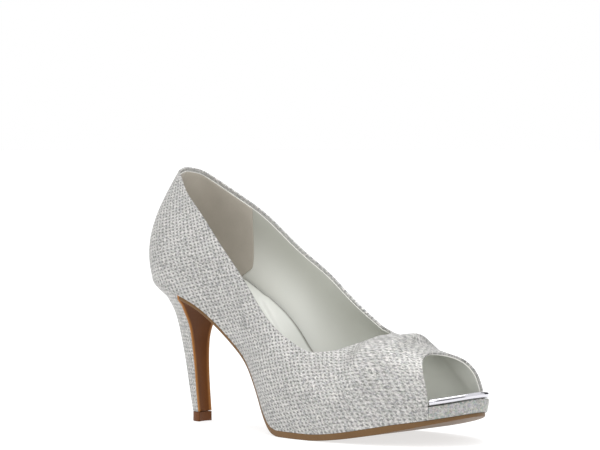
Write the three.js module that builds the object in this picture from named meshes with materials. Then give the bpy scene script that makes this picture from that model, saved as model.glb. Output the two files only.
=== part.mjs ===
import * as THREE from "three";

// Driving sizes, in millimetres. The heel's furthest back is at x 0, the floor at z 0.
const LENGTH = 228;
const HALF_BALL = 39;
const SEAT_HEIGHT = 82;
const QUARTER_HEIGHT = 64.6;
const RIDGE_HEIGHT = 56;
const TOE_SPRING = 15;
const MEDIAL_LIFT = 10;
const UPPER_WALL = 1.8;
const FIT_GAP = 0.32;
const WALL_GAP = 0.448;

const SOLE_WAIST = 2.2;
const SOLE_BALL = 3.5;
const SOLE_FORE = 3.9;
const SOLE_TIP = 3;
const SOLE_CHAMFER = 0.7;
const SOLE_INSET = 1.4;
const PLATFORM_THICK = 6.8;
const CUSHION_THICK = 4.6;
const INSOLE_THICK = 2.8;
const BAND_HEIGHT = 3.6;
const BAND_DEPTH = 3.2;
const BAND_PROUD = 0.2;

const TIP_HEIGHT = 5.4;
const TIP_BACK = 25.8;
const TIP_LENGTH = 8.4;
const TIP_HALF = 5.2;
const BREAST_SKIN = 0.9;
const BREAST_DISH = 0.9;

const COLLAR_HEIGHT = SEAT_HEIGHT + QUARTER_HEIGHT;

// Finishes.
const GLITTER = { color: 0xc6c6c4, roughness: 0.55, metalness: 0.25 };
const LEATHER = { color: 0x7c5434, roughness: 0.6, metalness: 0 };
const LINING = { color: 0xd2d3cc, roughness: 0.7, metalness: 0 };
const SILVER = { color: 0xc9cacd, roughness: 0.15, metalness: 1 };

// Outline of the bottom edge, from the heel to the toe.
// x: share of the length. outer, inner: y as shares of half the ball width.
const OUTLINE = [
  [0.011, 0, 0],
  [0.0211, -0.295, 0.295],
  [0.0526, -0.526, 0.513],
  [0.1053, -0.654, 0.628],
  [0.1667, -0.679, 0.641],
  [0.2368, -0.641, 0.577],
  [0.307, -0.597, 0.538],
  [0.3772, -0.603, 0.564],
  [0.4386, -0.718, 0.667],
  [0.5, -0.872, 0.808],
  [0.5702, -0.974, 0.949],
  [0.6404, -1, 1.013],
  [0.7105, -0.987, 1.051],
  [0.7807, -0.923, 1.038],
  [0.8509, -0.795, 0.962],
  [0.9123, -0.615, 0.821],
  [0.9605, -0.372, 0.615],
  [0.9912, -0.09, 0.385],
  [1, 0.141, 0.141],
];

// Underside of the sole from the heel to the ball.
// x: share of the length. z: share of the seat's height.
const UNDER = [
  [0, 1],
  [0.0789, 0.9561],
  [0.1667, 0.8707],
  [0.2193, 0.8073],
  [0.2719, 0.711],
  [0.3421, 0.5512],
  [0.386, 0.4293],
  [0.4079, 0.3439],
  [0.4342, 0.2378],
  [0.4561, 0.1463],
  [0.4781, 0.0732],
  [0.5022, 0.0207],
  [0.5307, 0],
];

// Toe spring starts at this share of the length and rises with this power.
const SPRING_FROM = 0.64;
const SPRING_POWER = 1.5;

// Sole edge along the shoe. x: share of the length. thick: millimetres.
const EDGE = [
  [0, SOLE_WAIST],
  [0.386, SOLE_WAIST],
  [0.535, SOLE_BALL],
  [0.658, SOLE_BALL],
  [0.833, SOLE_FORE],
  [1, SOLE_TIP],
];

// Platform along the shoe. x: share of the length. full: share of its thickness.
const PLATFORM = [
  [0.36, 0],
  [0.412, 0.24],
  [0.474, 0.75],
  [0.526, 1],
  [1, 1],
];

// Insole along the shoe. x: share of the length. thick: millimetres.
const PADDING = [
  [0, CUSHION_THICK],
  [0.482, CUSHION_THICK],
  [0.658, INSOLE_THICK],
  [1, INSOLE_THICK],
];

// Lift of the inner edge at the waist. x: share of the length. full: share of the lift.
const LIFT = [
  [0.088, 0],
  [0.219, 0.6],
  [0.351, 1],
  [0.456, 0.5],
  [0.544, 0],
];

// Ribs of the upper from the heel to the throat, then along the ridge to the peep.
// foot: row of the outline. x, y: head of the rib, as shares of length and half ball.
// rise: height of the head, 0 at the ridge's height and 1 at the collar's.
// low, top: lean at the foot and at the head, in degrees from upright.
// aim: plan direction of the lean at the head, 0 forward and 90 across.
// fillLow, fillTop: fullness at the foot and at the head.
const RIB_COLUMNS = ["foot", "x", "y", "rise", "low", "top", "aim", "fillLow", "fillTop"];
const OUTER_RIBS = [
  [0, 0.0833, 0, 1, 20, 34, 0, 0.38, 0.38],
  [1, 0.0943, -0.218, 0.979, 18, 30, 30, 0.38, 0.38],
  [1.95, 0.1206, -0.359, 0.9415, 14, 24, 58, 0.38, 0.38],
  [3, 0.1601, -0.487, 0.8488, 12, 17, 76, 0.38, 0.38],
  [4, 0.2061, -0.564, 0.7561, 10, 12, 86, 0.38, 0.38],
  [4.85, 0.2544, -0.615, 0.6446, 10, 9, 90, 0.38, 0.38],
  [5.7, 0.307, -0.656, 0.511, 11, 8, 90, 0.38, 0.38],
  [6.5, 0.3596, -0.692, 0.3863, 13, 8, 90, 0.38, 0.38],
  [7.32, 0.4123, -0.726, 0.2494, 14, 10, 90, 0.38, 0.35],
  [8.18, 0.4605, -0.749, 0.117, 13, 15, 90, 0.39, 0.32],
  [9.05, 0.5088, -0.769, 0.021, 10, 22, 90, 0.41, 0.3],
  [9.8, 0.557, -0.779, -0.0419, 7, 31, 90, 0.43, 0.285],
  [10.47, 0.6009, -0.759, -0.0927, 5, 41, 90, 0.45, 0.28],
  [11.03, 0.6382, -0.697, -0.0971, 4, 50, 90, 0.46, 0.285],
  [11.47, 0.6667, -0.59, -0.0839, 3, 61, 90, 0.475, 0.305],
  [11.82, 0.6895, -0.436, -0.0596, 3, 66, 90, 0.5, 0.345],
  [12.14, 0.7083, -0.244, -0.0309, 2, 73, 90, 0.51, 0.385],
  [12.44, 0.7215, -0.051, -0.0077, 2, 82, 90, 0.52, 0.43],
  [12.75, 0.7259, 0.128, 0, 2, 90, 90, 0.53, 0.48],
  [13.4, 0.7632, 0.118, 0.0066, 1, 90, 90, 0.53, 0.46],
  [14, 0.7961, 0.103, 0.0022, 0, 90, 91, 0.53, 0.44],
  [14.53, 0.8224, 0.087, -0.0265, 0, 90, 93, 0.52, 0.42],
  [15.05, 0.85, 0.069, -0.064, 0, 90, 97, 0.5, 0.41],
  [15.48, 0.8772, 0.051, -0.0883, 0, 90, 100, 0.47, 0.43],
];
const INNER_RIBS = [
  [0, 0.0833, 0, 1, 20, 34, 0, 0.38, 0.38],
  [1, 0.089, 0.218, 0.9868, 18, 30, 30, 0.38, 0.38],
  [1.95, 0.1053, 0.372, 0.9525, 14, 24, 58, 0.38, 0.38],
  [3, 0.1491, 0.5, 0.8753, 12, 17, 76, 0.38, 0.38],
  [4, 0.2018, 0.585, 0.7925, 10, 12, 86, 0.38, 0.38],
  [4.85, 0.2544, 0.636, 0.7097, 10, 8, 90, 0.38, 0.38],
  [5.7, 0.307, 0.672, 0.6071, 11, 7, 90, 0.38, 0.38],
  [6.5, 0.3596, 0.697, 0.5033, 13, 7, 90, 0.38, 0.38],
  [7.32, 0.4123, 0.726, 0.4106, 14, 8, 90, 0.38, 0.36],
  [8.18, 0.4605, 0.754, 0.3245, 13, 11, 90, 0.385, 0.34],
  [9.05, 0.5088, 0.769, 0.223, 10, 17, 90, 0.4, 0.32],
  [9.8, 0.557, 0.764, 0.1347, 7, 27, 90, 0.42, 0.3],
  [10.47, 0.5987, 0.733, 0.0728, 5, 41, 90, 0.44, 0.295],
  [11.03, 0.636, 0.667, 0.0287, 4, 58, 90, 0.465, 0.32],
  [11.47, 0.6645, 0.574, 0.0143, 3, 72, 90, 0.49, 0.36],
  [11.82, 0.6886, 0.462, 0.0055, 3, 79, 90, 0.505, 0.39],
  [12.14, 0.7075, 0.346, 0.0033, 2, 84, 90, 0.515, 0.42],
  [12.44, 0.7193, 0.244, 0.0022, 2, 87.3, 90, 0.52, 0.45],
  [12.75, 0.7259, 0.128, 0, 2, 90, 90, 0.53, 0.48],
  [13.4, 0.7632, 0.118, 0.0066, 1, 90, 90, 0.51, 0.42],
  [14, 0.7961, 0.103, 0.0022, 1, 90, 91, 0.49, 0.38],
  [14.53, 0.8224, 0.087, -0.0265, 2, 90, 94, 0.47, 0.34],
  [15, 0.85, 0.069, -0.064, 4, 90, 99, 0.48, 0.36],
  [15.48, 0.8772, 0.051, -0.0883, 6, 90, 104, 0.5, 0.44],
];
const THROAT = 18;
const LAST_RIB = OUTER_RIBS.length - 1;
const RIB_STEPS = 12;

// Heel from the seat to the top piece. down: share of the way down.
// back, breast, half: share of the way from the seat's size to the top piece's.
const HEEL = [
  [0, 0, 0, 0],
  [0.04, 0.077, 0.316, 0.086],
  [0.09, 0.21, 0.737, 0.222],
  [0.18, 0.408, 1.342, 0.485],
  [0.27, 0.498, 1.632, 0.707],
  [0.38, 0.567, 1.816, 0.864],
  [0.5, 0.661, 1.789, 0.934],
  [0.65, 0.768, 1.605, 0.975],
  [0.84, 0.888, 1.316, 0.99],
  [1, 1, 1, 1],
];

// Places along the outline, in rows of its table: where the outsole meets the heel, where the
// platform starts, where the sole is drawn in and where the peep's legs stand.
const SEAT_ROW = 4;
const PLATFORM_ROW = 7.4;
const DRAWN_FROM_ROW = 14;
const DRAWN_TO_ROW = 17;
const LEG_ROW = 15.48;
const TOE_ROW = OUTLINE.length - 1;
const LEG_GAP = 0.04;

// Steps of the lofts.
const SOLE_STEPS = 42;
const PLATFORM_STEPS = 26;
const INSOLE_STEPS = 40;
const BAND_STEPS = 16;
const BAND_SIDES = 10;
const ACROSS = 5;
const HEEL_STEPS = 18;
const HEEL_ROUND = 24;
const BREAST_STEPS = 6;

function steps(from, to, count) {
  return Array.from({ length: count + 1 }, (_, i) => from + ((to - from) * i) / count);
}

function column(rows, c) {
  return rows.map((row) => row[c]);
}

function smooth(u) {
  return u * u * (3 - 2 * u);
}

function mix(a, b, share) {
  return a + (b - a) * share;
}

// Cubic spline through value[i] at at[i]. A closed one runs round; a still end stops there.
function spline(at, value, closed, still = []) {
  const last = at.length - 1;
  const slope = new Array(at.length).fill(0);
  for (let pass = 0; pass < 80; pass += 1) {
    for (let i = 0; i <= last; i += 1) {
      const end = i === 0 || i === last;
      if (end && still.includes(i)) {
        slope[i] = 0;
      } else if (end && !closed) {
        const a = i === 0 ? 0 : last - 1;
        const near = i === 0 ? slope[1] : slope[a];
        slope[i] = (3 * (value[a + 1] - value[a]) / (at[a + 1] - at[a]) - near) / 2;
      } else {
        const a = i === 0 ? last - 1 : i - 1;
        const b = i === last ? 1 : i + 1;
        const ha = i === 0 ? at[last] - at[last - 1] : at[i] - at[i - 1];
        const hb = i === last ? at[1] - at[0] : at[i + 1] - at[i];
        const pull = 3 * ((value[i] - value[a]) / (ha * ha) + (value[b] - value[i]) / (hb * hb));
        slope[i] = (pull - slope[a] / ha - slope[b] / hb) / (2 / ha + 2 / hb);
      }
    }
  }
  return (t) => {
    let i = 0;
    while (i < last - 1 && t > at[i + 1]) {
      i += 1;
    }
    const h = at[i + 1] - at[i];
    const u = (t - at[i]) / h;
    const v = 1 - u;
    const a = value[i] * (1 + 2 * u) * v * v;
    const b = value[i + 1] * (1 + 2 * v) * u * u;
    return a + b + h * u * v * (slope[i] * v - slope[i + 1] * u);
  };
}

// Steps between rows with rounded shoulders.
function ramp(rows, x) {
  const share = x / LENGTH;
  if (share <= rows[0][0]) {
    return rows[0][1];
  }
  for (let i = 1; i < rows.length; i += 1) {
    const [from, a] = rows[i - 1];
    const [to, b] = rows[i];
    if (share < to) {
      return mix(a, b, smooth((share - from) / (to - from)));
    }
  }
  return rows[rows.length - 1][1];
}

// Closed outline: heel, outer side, toe, inner side and back to the heel.
const TURN = 2 * TOE_ROW;
const turnRows = steps(0, TURN, TURN);
const loopRow = turnRows.map((i) => OUTLINE[i <= TOE_ROW ? i : TURN - i]);
const loopWide = loopRow.map((row, i) => HALF_BALL * row[i <= TOE_ROW ? 1 : 2]);
const loopX = spline(turnRows, column(loopRow, 0).map((x) => x * LENGTH), true);
const loopY = spline(turnRows, loopWide, true);

// Point of the outline at row k of one side, -1 outer and 1 inner, moved in by inset.
function outline(side, k, inset = 0) {
  const t = side < 0 ? k : TURN - k;
  const e = 0.01;
  let dx = loopX(Math.min(t + e, TURN)) - loopX(Math.max(t - e, 0));
  let dy = loopY(Math.min(t + e, TURN)) - loopY(Math.max(t - e, 0));
  if (t < e || t > TURN - e) {
    dx = 0;
    dy = -1;
  }
  const d = Math.hypot(dx, dy);
  return [loopX(t) - (dy / d) * inset, loopY(t) + (dx / d) * inset];
}

const underX = column(UNDER, 0).map((x) => x * LENGTH);
const underZ = column(UNDER, 1).map((z) => z * SEAT_HEIGHT);
const underCurve = spline(underX, underZ, false);

// Underside of the sole's outer edge over the floor.
function under(x) {
  if (x < underX[underX.length - 1]) {
    return Math.max(0, underCurve(x));
  }
  const from = SPRING_FROM * LENGTH;
  const run = Math.max(0, (x - from) / (LENGTH - from));
  return TOE_SPRING * Math.pow(run, SPRING_POWER);
}

// Heights of the layers at share s of the width, 0 outer edge and 1 inner edge.
function soleUnder(x, s) {
  return under(x) + MEDIAL_LIFT * ramp(LIFT, x) * smooth(s);
}

function soleTop(x, s) {
  return soleUnder(x, s) + ramp(EDGE, x);
}

function platformLow(x, s) {
  return soleTop(x, s) + FIT_GAP;
}

function platformTop(x, s) {
  return platformLow(x, s) + PLATFORM_THICK * ramp(PLATFORM, x);
}

function insoleLow(x, s) {
  return platformTop(x, s) + FIT_GAP;
}

function insoleTop(x, s) {
  return insoleLow(x, s) + ramp(PADDING, x);
}

// Curves through the columns of a rib table. The head's path turns at the throat.
function ribCurves(rows) {
  const scale = { x: LENGTH, y: HALF_BALL, rise: COLLAR_HEIGHT - RIDGE_HEIGHT };
  const curves = {};
  for (const [c, name] of RIB_COLUMNS.entries()) {
    const values = column(rows, c).map((v) => v * (scale[name] || 1));
    if (name in scale) {
      const before = values.slice(0, THROAT + 1);
      const after = values.slice(THROAT);
      const back = spline(steps(0, THROAT, THROAT), before, false, [THROAT]);
      const front = spline(steps(0, after.length - 1, after.length - 1), after, false, [0]);
      curves[name] = (t) => (t <= THROAT ? back(t) : front(t - THROAT));
    } else {
      curves[name] = spline(steps(0, LAST_RIB, LAST_RIB), values, false);
    }
  }
  return curves;
}

const OUTER = { side: -1, edge: 0, at: ribCurves(OUTER_RIBS) };
const INNER = { side: 1, edge: 1, at: ribCurves(INNER_RIBS) };

// Point of the upper's outer face on rib t, from its foot at share 0 to its head at 1.
function ribPoint({ side, edge, at }, t, share) {
  const k = at.foot(t);
  const [footX, footY] = outline(side, k);
  const [inX, inY] = outline(side, k, 1);
  const foot = new THREE.Vector3(footX, footY, soleTop(footX, edge) + FIT_GAP);
  const head = new THREE.Vector3(at.x(t), at.y(t), RIDGE_HEIGHT + at.rise(t));
  const reach = foot.distanceTo(head);
  const low = THREE.MathUtils.degToRad(at.low(t));
  const top = THREE.MathUtils.degToRad(at.top(t));
  const aim = THREE.MathUtils.degToRad(at.aim(t));
  const lean = new THREE.Vector3(footX - inX, footY - inY, 0).multiplyScalar(Math.sin(low));
  lean.z = Math.cos(low);
  const over = new THREE.Vector3(Math.cos(aim), -side * Math.sin(aim), 0);
  over.multiplyScalar(Math.sin(top));
  over.z = Math.cos(top);
  const a = foot.clone().addScaledVector(lean, reach * at.fillLow(t));
  const b = head.clone().addScaledVector(over, -reach * at.fillTop(t));
  return new THREE.CubicBezierCurve3(foot, a, b, head).getPoint(share);
}

// Points shared by position, and faces between them.
class Shell {
  constructor() {
    this.points = [];
    this.faces = [];
    this.keys = new Map();
  }

  at(p) {
    const key = [p.x, p.y, p.z].map((c) => Math.round(c * 500)).join(",");
    if (!this.keys.has(key)) {
      this.keys.set(key, this.points.length);
      this.points.push(p.clone());
    }
    return this.keys.get(key);
  }

  face(a, b, c) {
    if (a !== b && b !== c && c !== a) {
      this.faces.push([a, b, c]);
    }
  }

  quad(a, b, c, d) {
    this.face(a, b, c);
    this.face(a, c, d);
  }

  fan(ring) {
    const middle = new THREE.Vector3();
    for (const i of ring) {
      middle.addScaledVector(this.points[i], 1 / ring.length);
    }
    const m = this.at(middle);
    for (const [j, i] of ring.entries()) {
      this.face(m, i, ring[(j + 1) % ring.length]);
    }
  }

  geometry() {
    let volume = 0;
    for (const [a, b, c] of this.faces) {
      const across = this.points[b].clone().cross(this.points[c]);
      volume += this.points[a].dot(across);
    }
    const order = volume < 0 ? [0, 2, 1] : [0, 1, 2];
    const made = new THREE.BufferGeometry();
    const xyz = this.points.flatMap((p) => [p.x, p.y, p.z]);
    made.setAttribute("position", new THREE.Float32BufferAttribute(xyz, 3));
    made.setIndex(this.faces.flatMap((f) => order.map((i) => f[i])));
    made.computeVertexNormals();
    return made;
  }
}

// Closed body through rings of as many points each.
function loft(rings) {
  const shell = new Shell();
  const index = rings.map((ring) => ring.map((p) => shell.at(p)));
  const n = rings[0].length;
  for (let i = 0; i + 1 < rings.length; i += 1) {
    for (let j = 0; j < n; j += 1) {
      const k = (j + 1) % n;
      shell.quad(index[i][j], index[i + 1][j], index[i + 1][k], index[i][k]);
    }
  }
  shell.fan(index[0]);
  shell.fan([...index[index.length - 1]].reverse());
  return shell.geometry();
}

// Wall of even thickness behind a sheet, its open edges closed by rims.
// The points in level keep their height, so that the wall stands flat on the sole.
function thicken(sheet, wall, level) {
  const n = sheet.points.length;
  const normals = sheet.points.map(() => new THREE.Vector3());
  const edges = new Map();
  for (const [a, b, c] of sheet.faces) {
    const u = sheet.points[b].clone().sub(sheet.points[a]);
    const v = sheet.points[c].clone().sub(sheet.points[a]);
    u.cross(v);
    for (const i of [a, b, c]) {
      normals[i].add(u);
    }
    for (const [p, q] of [[a, b], [b, c], [c, a]]) {
      edges.set(p * n + q, [p, q]);
    }
  }
  const shell = new Shell();
  const front = sheet.points.map((p) => shell.at(p));
  const back = sheet.points.map((p, i) => {
    const q = p.clone().addScaledVector(normals[i].normalize(), -wall);
    if (level.has(i)) {
      q.z = p.z;
    }
    return shell.at(q);
  });
  for (const [a, b, c] of sheet.faces) {
    shell.face(front[a], front[b], front[c]);
    shell.face(back[a], back[c], back[b]);
  }
  for (const [p, q] of edges.values()) {
    if (!edges.has(q * n + p)) {
      shell.quad(front[q], front[p], back[p], back[q]);
    }
  }
  return shell.geometry();
}

// Outer face of the upper: ribs from the peep's outer leg round the heel to its inner leg.
function upperWall() {
  const sheet = new Shell();
  const level = new Set();
  const stations = steps(0, LAST_RIB, 2 * LAST_RIB);
  const rib = (set, t) => {
    const ids = steps(0, 1, RIB_STEPS).map((share) => sheet.at(ribPoint(set, t, share)));
    level.add(ids[0]);
    return ids;
  };
  const outer = stations.slice(1).reverse().map((t) => rib(OUTER, t));
  const inner = stations.map((t) => rib(INNER, t));
  const ribs = [...outer, ...inner];
  for (let i = 0; i + 1 < ribs.length; i += 1) {
    for (let j = 0; j < RIB_STEPS; j += 1) {
      sheet.quad(ribs[i][j], ribs[i][j + 1], ribs[i + 1][j + 1], ribs[i + 1][j]);
    }
  }
  return thicken(sheet, UPPER_WALL, level);
}

// How far in from the outline's row k the upper's inner face comes, up to a given rise.
function wallInset(set, k, rise) {
  let low = 0;
  let high = LAST_RIB;
  for (let pass = 0; pass < 30; pass += 1) {
    const t = (low + high) / 2;
    if (set.at.foot(t) < k) {
      low = t;
    } else {
      high = t;
    }
  }
  const [footX, footY] = outline(set.side, k);
  const [inX, inY] = outline(set.side, k, 1);
  const foot = ribPoint(set, low, 0);
  let lean = 0;
  for (const share of steps(0, 0.5, 50)) {
    const p = ribPoint(set, low, share);
    if (p.z - foot.z < rise) {
      lean = Math.max(lean, (p.x - footX) * (inX - footX) + (p.y - footY) * (inY - footY));
    }
  }
  return lean + UPPER_WALL + WALL_GAP;
}

// Rows of a layer: place on the outline with the insets of its outer and inner edges.
function walled(k, rise) {
  return [k, wallInset(OUTER, k, rise), wallInset(INNER, k, rise)];
}

function even(k, inset) {
  return [k, inset, inset];
}

// Flat layer between two height functions, with its lower edges taken off by a chamfer.
function layer(rows, low, high, chamfer) {
  const rings = rows.map(([k, outer, inner]) => {
    const a = outline(-1, k, outer);
    const b = outline(1, k, inner);
    const c = outline(-1, k, outer + chamfer);
    const d = outline(1, k, inner + chamfer);
    const place = (p, q, s, height, rise) => {
      const x = mix(p[0], q[0], s);
      return new THREE.Vector3(x, mix(p[1], q[1], s), height(x, s) + rise);
    };
    const over = steps(0, 1, ACROSS).map((s) => place(a, b, s, high, 0));
    const below = steps(1, 0, ACROSS).map((s) => place(c, d, s, low, 0));
    if (chamfer > 0) {
      over.push(place(a, b, 1, low, chamfer));
      below.push(place(a, b, 0, low, chamfer));
    }
    return [...over, ...below];
  });
  return loft(rings);
}

function part(name, geometry, finish) {
  const made = new THREE.Mesh(geometry, new THREE.MeshStandardMaterial(finish));
  made.name = name;
  return made;
}

// Outsole from the heel's breast to the toe, drawn in a little at the toe.
const TOE_ENDS = [0.2, 0.05, 0.01].map((short) => TOE_ROW - short);
const TOE_ROWS = [...steps(LEG_ROW + 0.12, TOE_ROW - 0.5, 6), ...TOE_ENDS];

function outsole() {
  const rows = [...steps(SEAT_ROW + 0.02, LEG_ROW - 0.18, SOLE_STEPS), ...TOE_ROWS];
  const drawnIn = (k) => {
    return SOLE_INSET * THREE.MathUtils.smoothstep(k, DRAWN_FROM_ROW, DRAWN_TO_ROW);
  };
  return layer(rows.map((k) => even(k, drawnIn(k))), soleUnder, soleTop, SOLE_CHAMFER);
}

// Rows in front of the peep's legs, where no upper stands round a layer.
function toeRows(inset) {
  return [LEG_ROW + LEG_GAP + 0.002, ...TOE_ROWS].map((k) => even(k, inset));
}

// Platform inside the upper's wall, flush with the outline in the toe opening.
function platform() {
  const behind = steps(PLATFORM_ROW, LEG_ROW + LEG_GAP, PLATFORM_STEPS);
  const rows = behind.map((k) => walled(k, PLATFORM_THICK));
  return layer([...rows, ...toeRows(0)], platformLow, platformTop, 0);
}

// Insole over platform, waist and seat, stopping behind the metallic band.
function insole() {
  const behind = [0.01, 0.05, 0.2, 0.5, ...steps(1, LEG_ROW + LEG_GAP, INSOLE_STEPS)];
  const rise = PLATFORM_THICK + CUSHION_THICK;
  const rows = behind.map((k) => walled(k, rise));
  return layer([...rows, ...toeRows(BAND_DEPTH + FIT_GAP)], insoleLow, insoleTop, 0);
}

// Rounded metallic band round the front of the insole.
function toeBand() {
  const squared = (v) => Math.sign(v) * Math.pow(Math.abs(v), 0.6);
  const ring = (side, k) => {
    const [x0] = outline(side, k);
    const z0 = platformTop(x0, side < 0 ? 0 : 1) + FIT_GAP;
    return steps(0, 2 * Math.PI, BAND_SIDES).slice(1).map((a) => {
      const inset = (BAND_DEPTH / 2) * (1 - squared(Math.cos(a))) - BAND_PROUD;
      const [x, y] = outline(side, k, inset);
      return new THREE.Vector3(x, y, z0 + (BAND_HEIGHT / 2) * (1 + squared(Math.sin(a))));
    });
  };
  const rows = steps(LEG_ROW + 2 * LEG_GAP, TOE_ROW - 0.1, BAND_STEPS);
  const outer = rows.map((k) => ring(-1, k));
  const inner = [...rows].reverse().map((k) => ring(1, k));
  return loft([...outer, ring(1, TOE_ROW), ...inner]);
}

// Heel sizes between the seat and the top piece.
const [seatX, seatOuter, seatInner] = [
  OUTLINE[SEAT_ROW][0] * LENGTH,
  OUTLINE[SEAT_ROW][1] * HALF_BALL,
  OUTLINE[SEAT_ROW][2] * HALF_BALL,
];
const heelBack = spline(
  column(HEEL, 0),
  column(HEEL, 1).map((v) => mix(OUTLINE[0][0] * LENGTH, TIP_BACK, v)),
  false,
);
const heelBreast = spline(
  column(HEEL, 0),
  column(HEEL, 2).map((v) => mix(seatX, TIP_BACK + TIP_LENGTH, v)),
  false,
);
const heelHalf = spline(
  column(HEEL, 0),
  column(HEEL, 3).map((v) => mix(seatInner, TIP_HALF, v)),
  false,
);
const SEAT_BLEND = 0.12;
const SEAT_ROW_RUN = 14;

// Plan ring of the heel at share t of the way down, its breast moved back.
// At the seat a row of the outline runs SEAT_ROW_RUN millimetres.
// The first point is the breast's outer corner, then round the back to the inner corner.
function heelRing(t, back) {
  const ease = smooth(Math.min(1, t / SEAT_BLEND));
  const front = heelBreast(t) - back;
  const corner = SEAT_ROW - back / SEAT_ROW_RUN;
  const ring = steps(0, 1, HEEL_ROUND).map((share) => {
    const a = Math.PI * (share - 0.5);
    const k = corner * (1 - Math.sin(0.5 * Math.PI * (1 - Math.abs(2 * share - 1))));
    const [x, y] = outline(share < 0.5 ? -1 : 1, k);
    const roundX = front - (front - heelBack(t)) * Math.cos(a);
    const roundY = heelHalf(t) * Math.sin(a);
    return [mix(x, roundX, ease), mix(y, roundY, ease)];
  });
  const [right, left] = [ring[0], ring[HEEL_ROUND]];
  for (const u of steps(0, 1, BREAST_STEPS).slice(1, -1)) {
    const dish = BREAST_DISH * ease * Math.sin(Math.PI * u);
    ring.push([mix(left[0], right[0], u) - dish, mix(left[1], right[1], u)]);
  }
  return ring;
}

function heelPoint([x, y], t) {
  const s = THREE.MathUtils.clamp((y - seatOuter) / (seatInner - seatOuter), 0, 1);
  return new THREE.Vector3(x, y, mix(soleTop(x, s), TIP_HEIGHT + FIT_GAP, t));
}

const heelLevels = steps(0, 1, HEEL_STEPS);

// Covered heel behind its breast.
function heel() {
  const behind = BREAST_SKIN + FIT_GAP;
  return loft(heelLevels.map((t) => heelRing(t, behind).map((p) => heelPoint(p, t))));
}

// Thin leather skin down the breast of the heel.
function breastCover() {
  const face = (ring) => [ring[0], ...ring.slice(HEEL_ROUND + 1).reverse(), ring[HEEL_ROUND]];
  const rings = heelLevels.map((t) => {
    const front = face(heelRing(t, 0));
    const rear = face(heelRing(t, BREAST_SKIN)).reverse();
    return [...front, ...rear].map((p) => heelPoint(p, t));
  });
  return loft(rings);
}

// Top piece under the heel, flat on the floor.
function topPiece() {
  const ring = heelRing(1, 0);
  return loft([TIP_HEIGHT, 0].map((z) => ring.map(([x, y]) => new THREE.Vector3(x, y, z))));
}

const shoe = new THREE.Group();
shoe.add(part("upper", upperWall(), GLITTER));
shoe.add(part("outsole", outsole(), LEATHER));
shoe.add(part("platform", platform(), GLITTER));
shoe.add(part("insole", insole(), LINING));
shoe.add(part("toe_band", toeBand(), SILVER));
shoe.add(part("heel", heel(), GLITTER));
shoe.add(part("heel_breast_cover", breastCover(), LEATHER));
shoe.add(part("heel_top_piece", topPiece(), LEATHER));

// The origin is at the middle of the shoe's box, on the floor.
const box = new THREE.Box3().setFromObject(shoe);
shoe.position.set(-(box.min.x + box.max.x) / 2, -(box.min.y + box.max.y) / 2, -box.min.z);
shoe.updateMatrixWorld(true);

export default shoe;
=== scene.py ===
"""Looks of a peep toe pump in silver glitter cloth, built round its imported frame.

Sizes are in millimetres in the last's own frame: x runs from the back of the heel to the toe,
y to the shoe's left and z up from the floor. Last.place turns them into metres in the frame.
"""

import logging
import math
from dataclasses import dataclass, field
from enum import Enum
from typing import Callable, Sequence

import bmesh
import bpy
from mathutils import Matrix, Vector


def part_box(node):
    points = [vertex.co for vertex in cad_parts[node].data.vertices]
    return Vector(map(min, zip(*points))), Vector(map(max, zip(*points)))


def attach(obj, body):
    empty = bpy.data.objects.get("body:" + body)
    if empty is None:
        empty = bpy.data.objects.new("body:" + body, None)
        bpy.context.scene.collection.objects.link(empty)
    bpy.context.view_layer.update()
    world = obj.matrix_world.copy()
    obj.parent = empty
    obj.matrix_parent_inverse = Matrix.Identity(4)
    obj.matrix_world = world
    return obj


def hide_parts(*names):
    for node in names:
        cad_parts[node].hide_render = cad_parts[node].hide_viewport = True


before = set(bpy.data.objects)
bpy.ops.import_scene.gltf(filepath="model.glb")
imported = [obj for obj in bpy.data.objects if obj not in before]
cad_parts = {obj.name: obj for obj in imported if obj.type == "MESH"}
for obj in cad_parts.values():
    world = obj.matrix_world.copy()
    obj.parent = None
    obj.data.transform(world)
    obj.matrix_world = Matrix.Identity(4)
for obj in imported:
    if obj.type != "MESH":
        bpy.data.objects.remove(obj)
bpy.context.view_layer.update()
LOG = logging.getLogger("pump")
MM = 0.001
WHITE = (1.0, 1.0, 1.0, 1.0)

# Outline of the bottom edge: x as a share of the length, y of the outer and of the inner side
# as shares of half the ball width.
OUTLINE = (
    (0.011, 0, 0),
    (0.0211, -0.295, 0.295),
    (0.0526, -0.526, 0.513),
    (0.1053, -0.654, 0.628),
    (0.1667, -0.679, 0.641),
    (0.2368, -0.641, 0.577),
    (0.307, -0.597, 0.538),
    (0.3772, -0.603, 0.564),
    (0.4386, -0.718, 0.667),
    (0.5, -0.872, 0.808),
    (0.5702, -0.974, 0.949),
    (0.6404, -1, 1.013),
    (0.7105, -0.987, 1.051),
    (0.7807, -0.923, 1.038),
    (0.8509, -0.795, 0.962),
    (0.9123, -0.615, 0.821),
    (0.9605, -0.372, 0.615),
    (0.9912, -0.09, 0.385),
    (1, 0.141, 0.141),
)

# Underside of the sole: x as a share of the length, z as a share of the seat's height.
UNDER = (
    (0, 1),
    (0.0789, 0.9561),
    (0.1667, 0.8707),
    (0.2193, 0.8073),
    (0.2719, 0.711),
    (0.3421, 0.5512),
    (0.386, 0.4293),
    (0.4079, 0.3439),
    (0.4342, 0.2378),
    (0.4561, 0.1463),
    (0.4781, 0.0732),
    (0.5022, 0.0207),
    (0.5307, 0),
)

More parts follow.
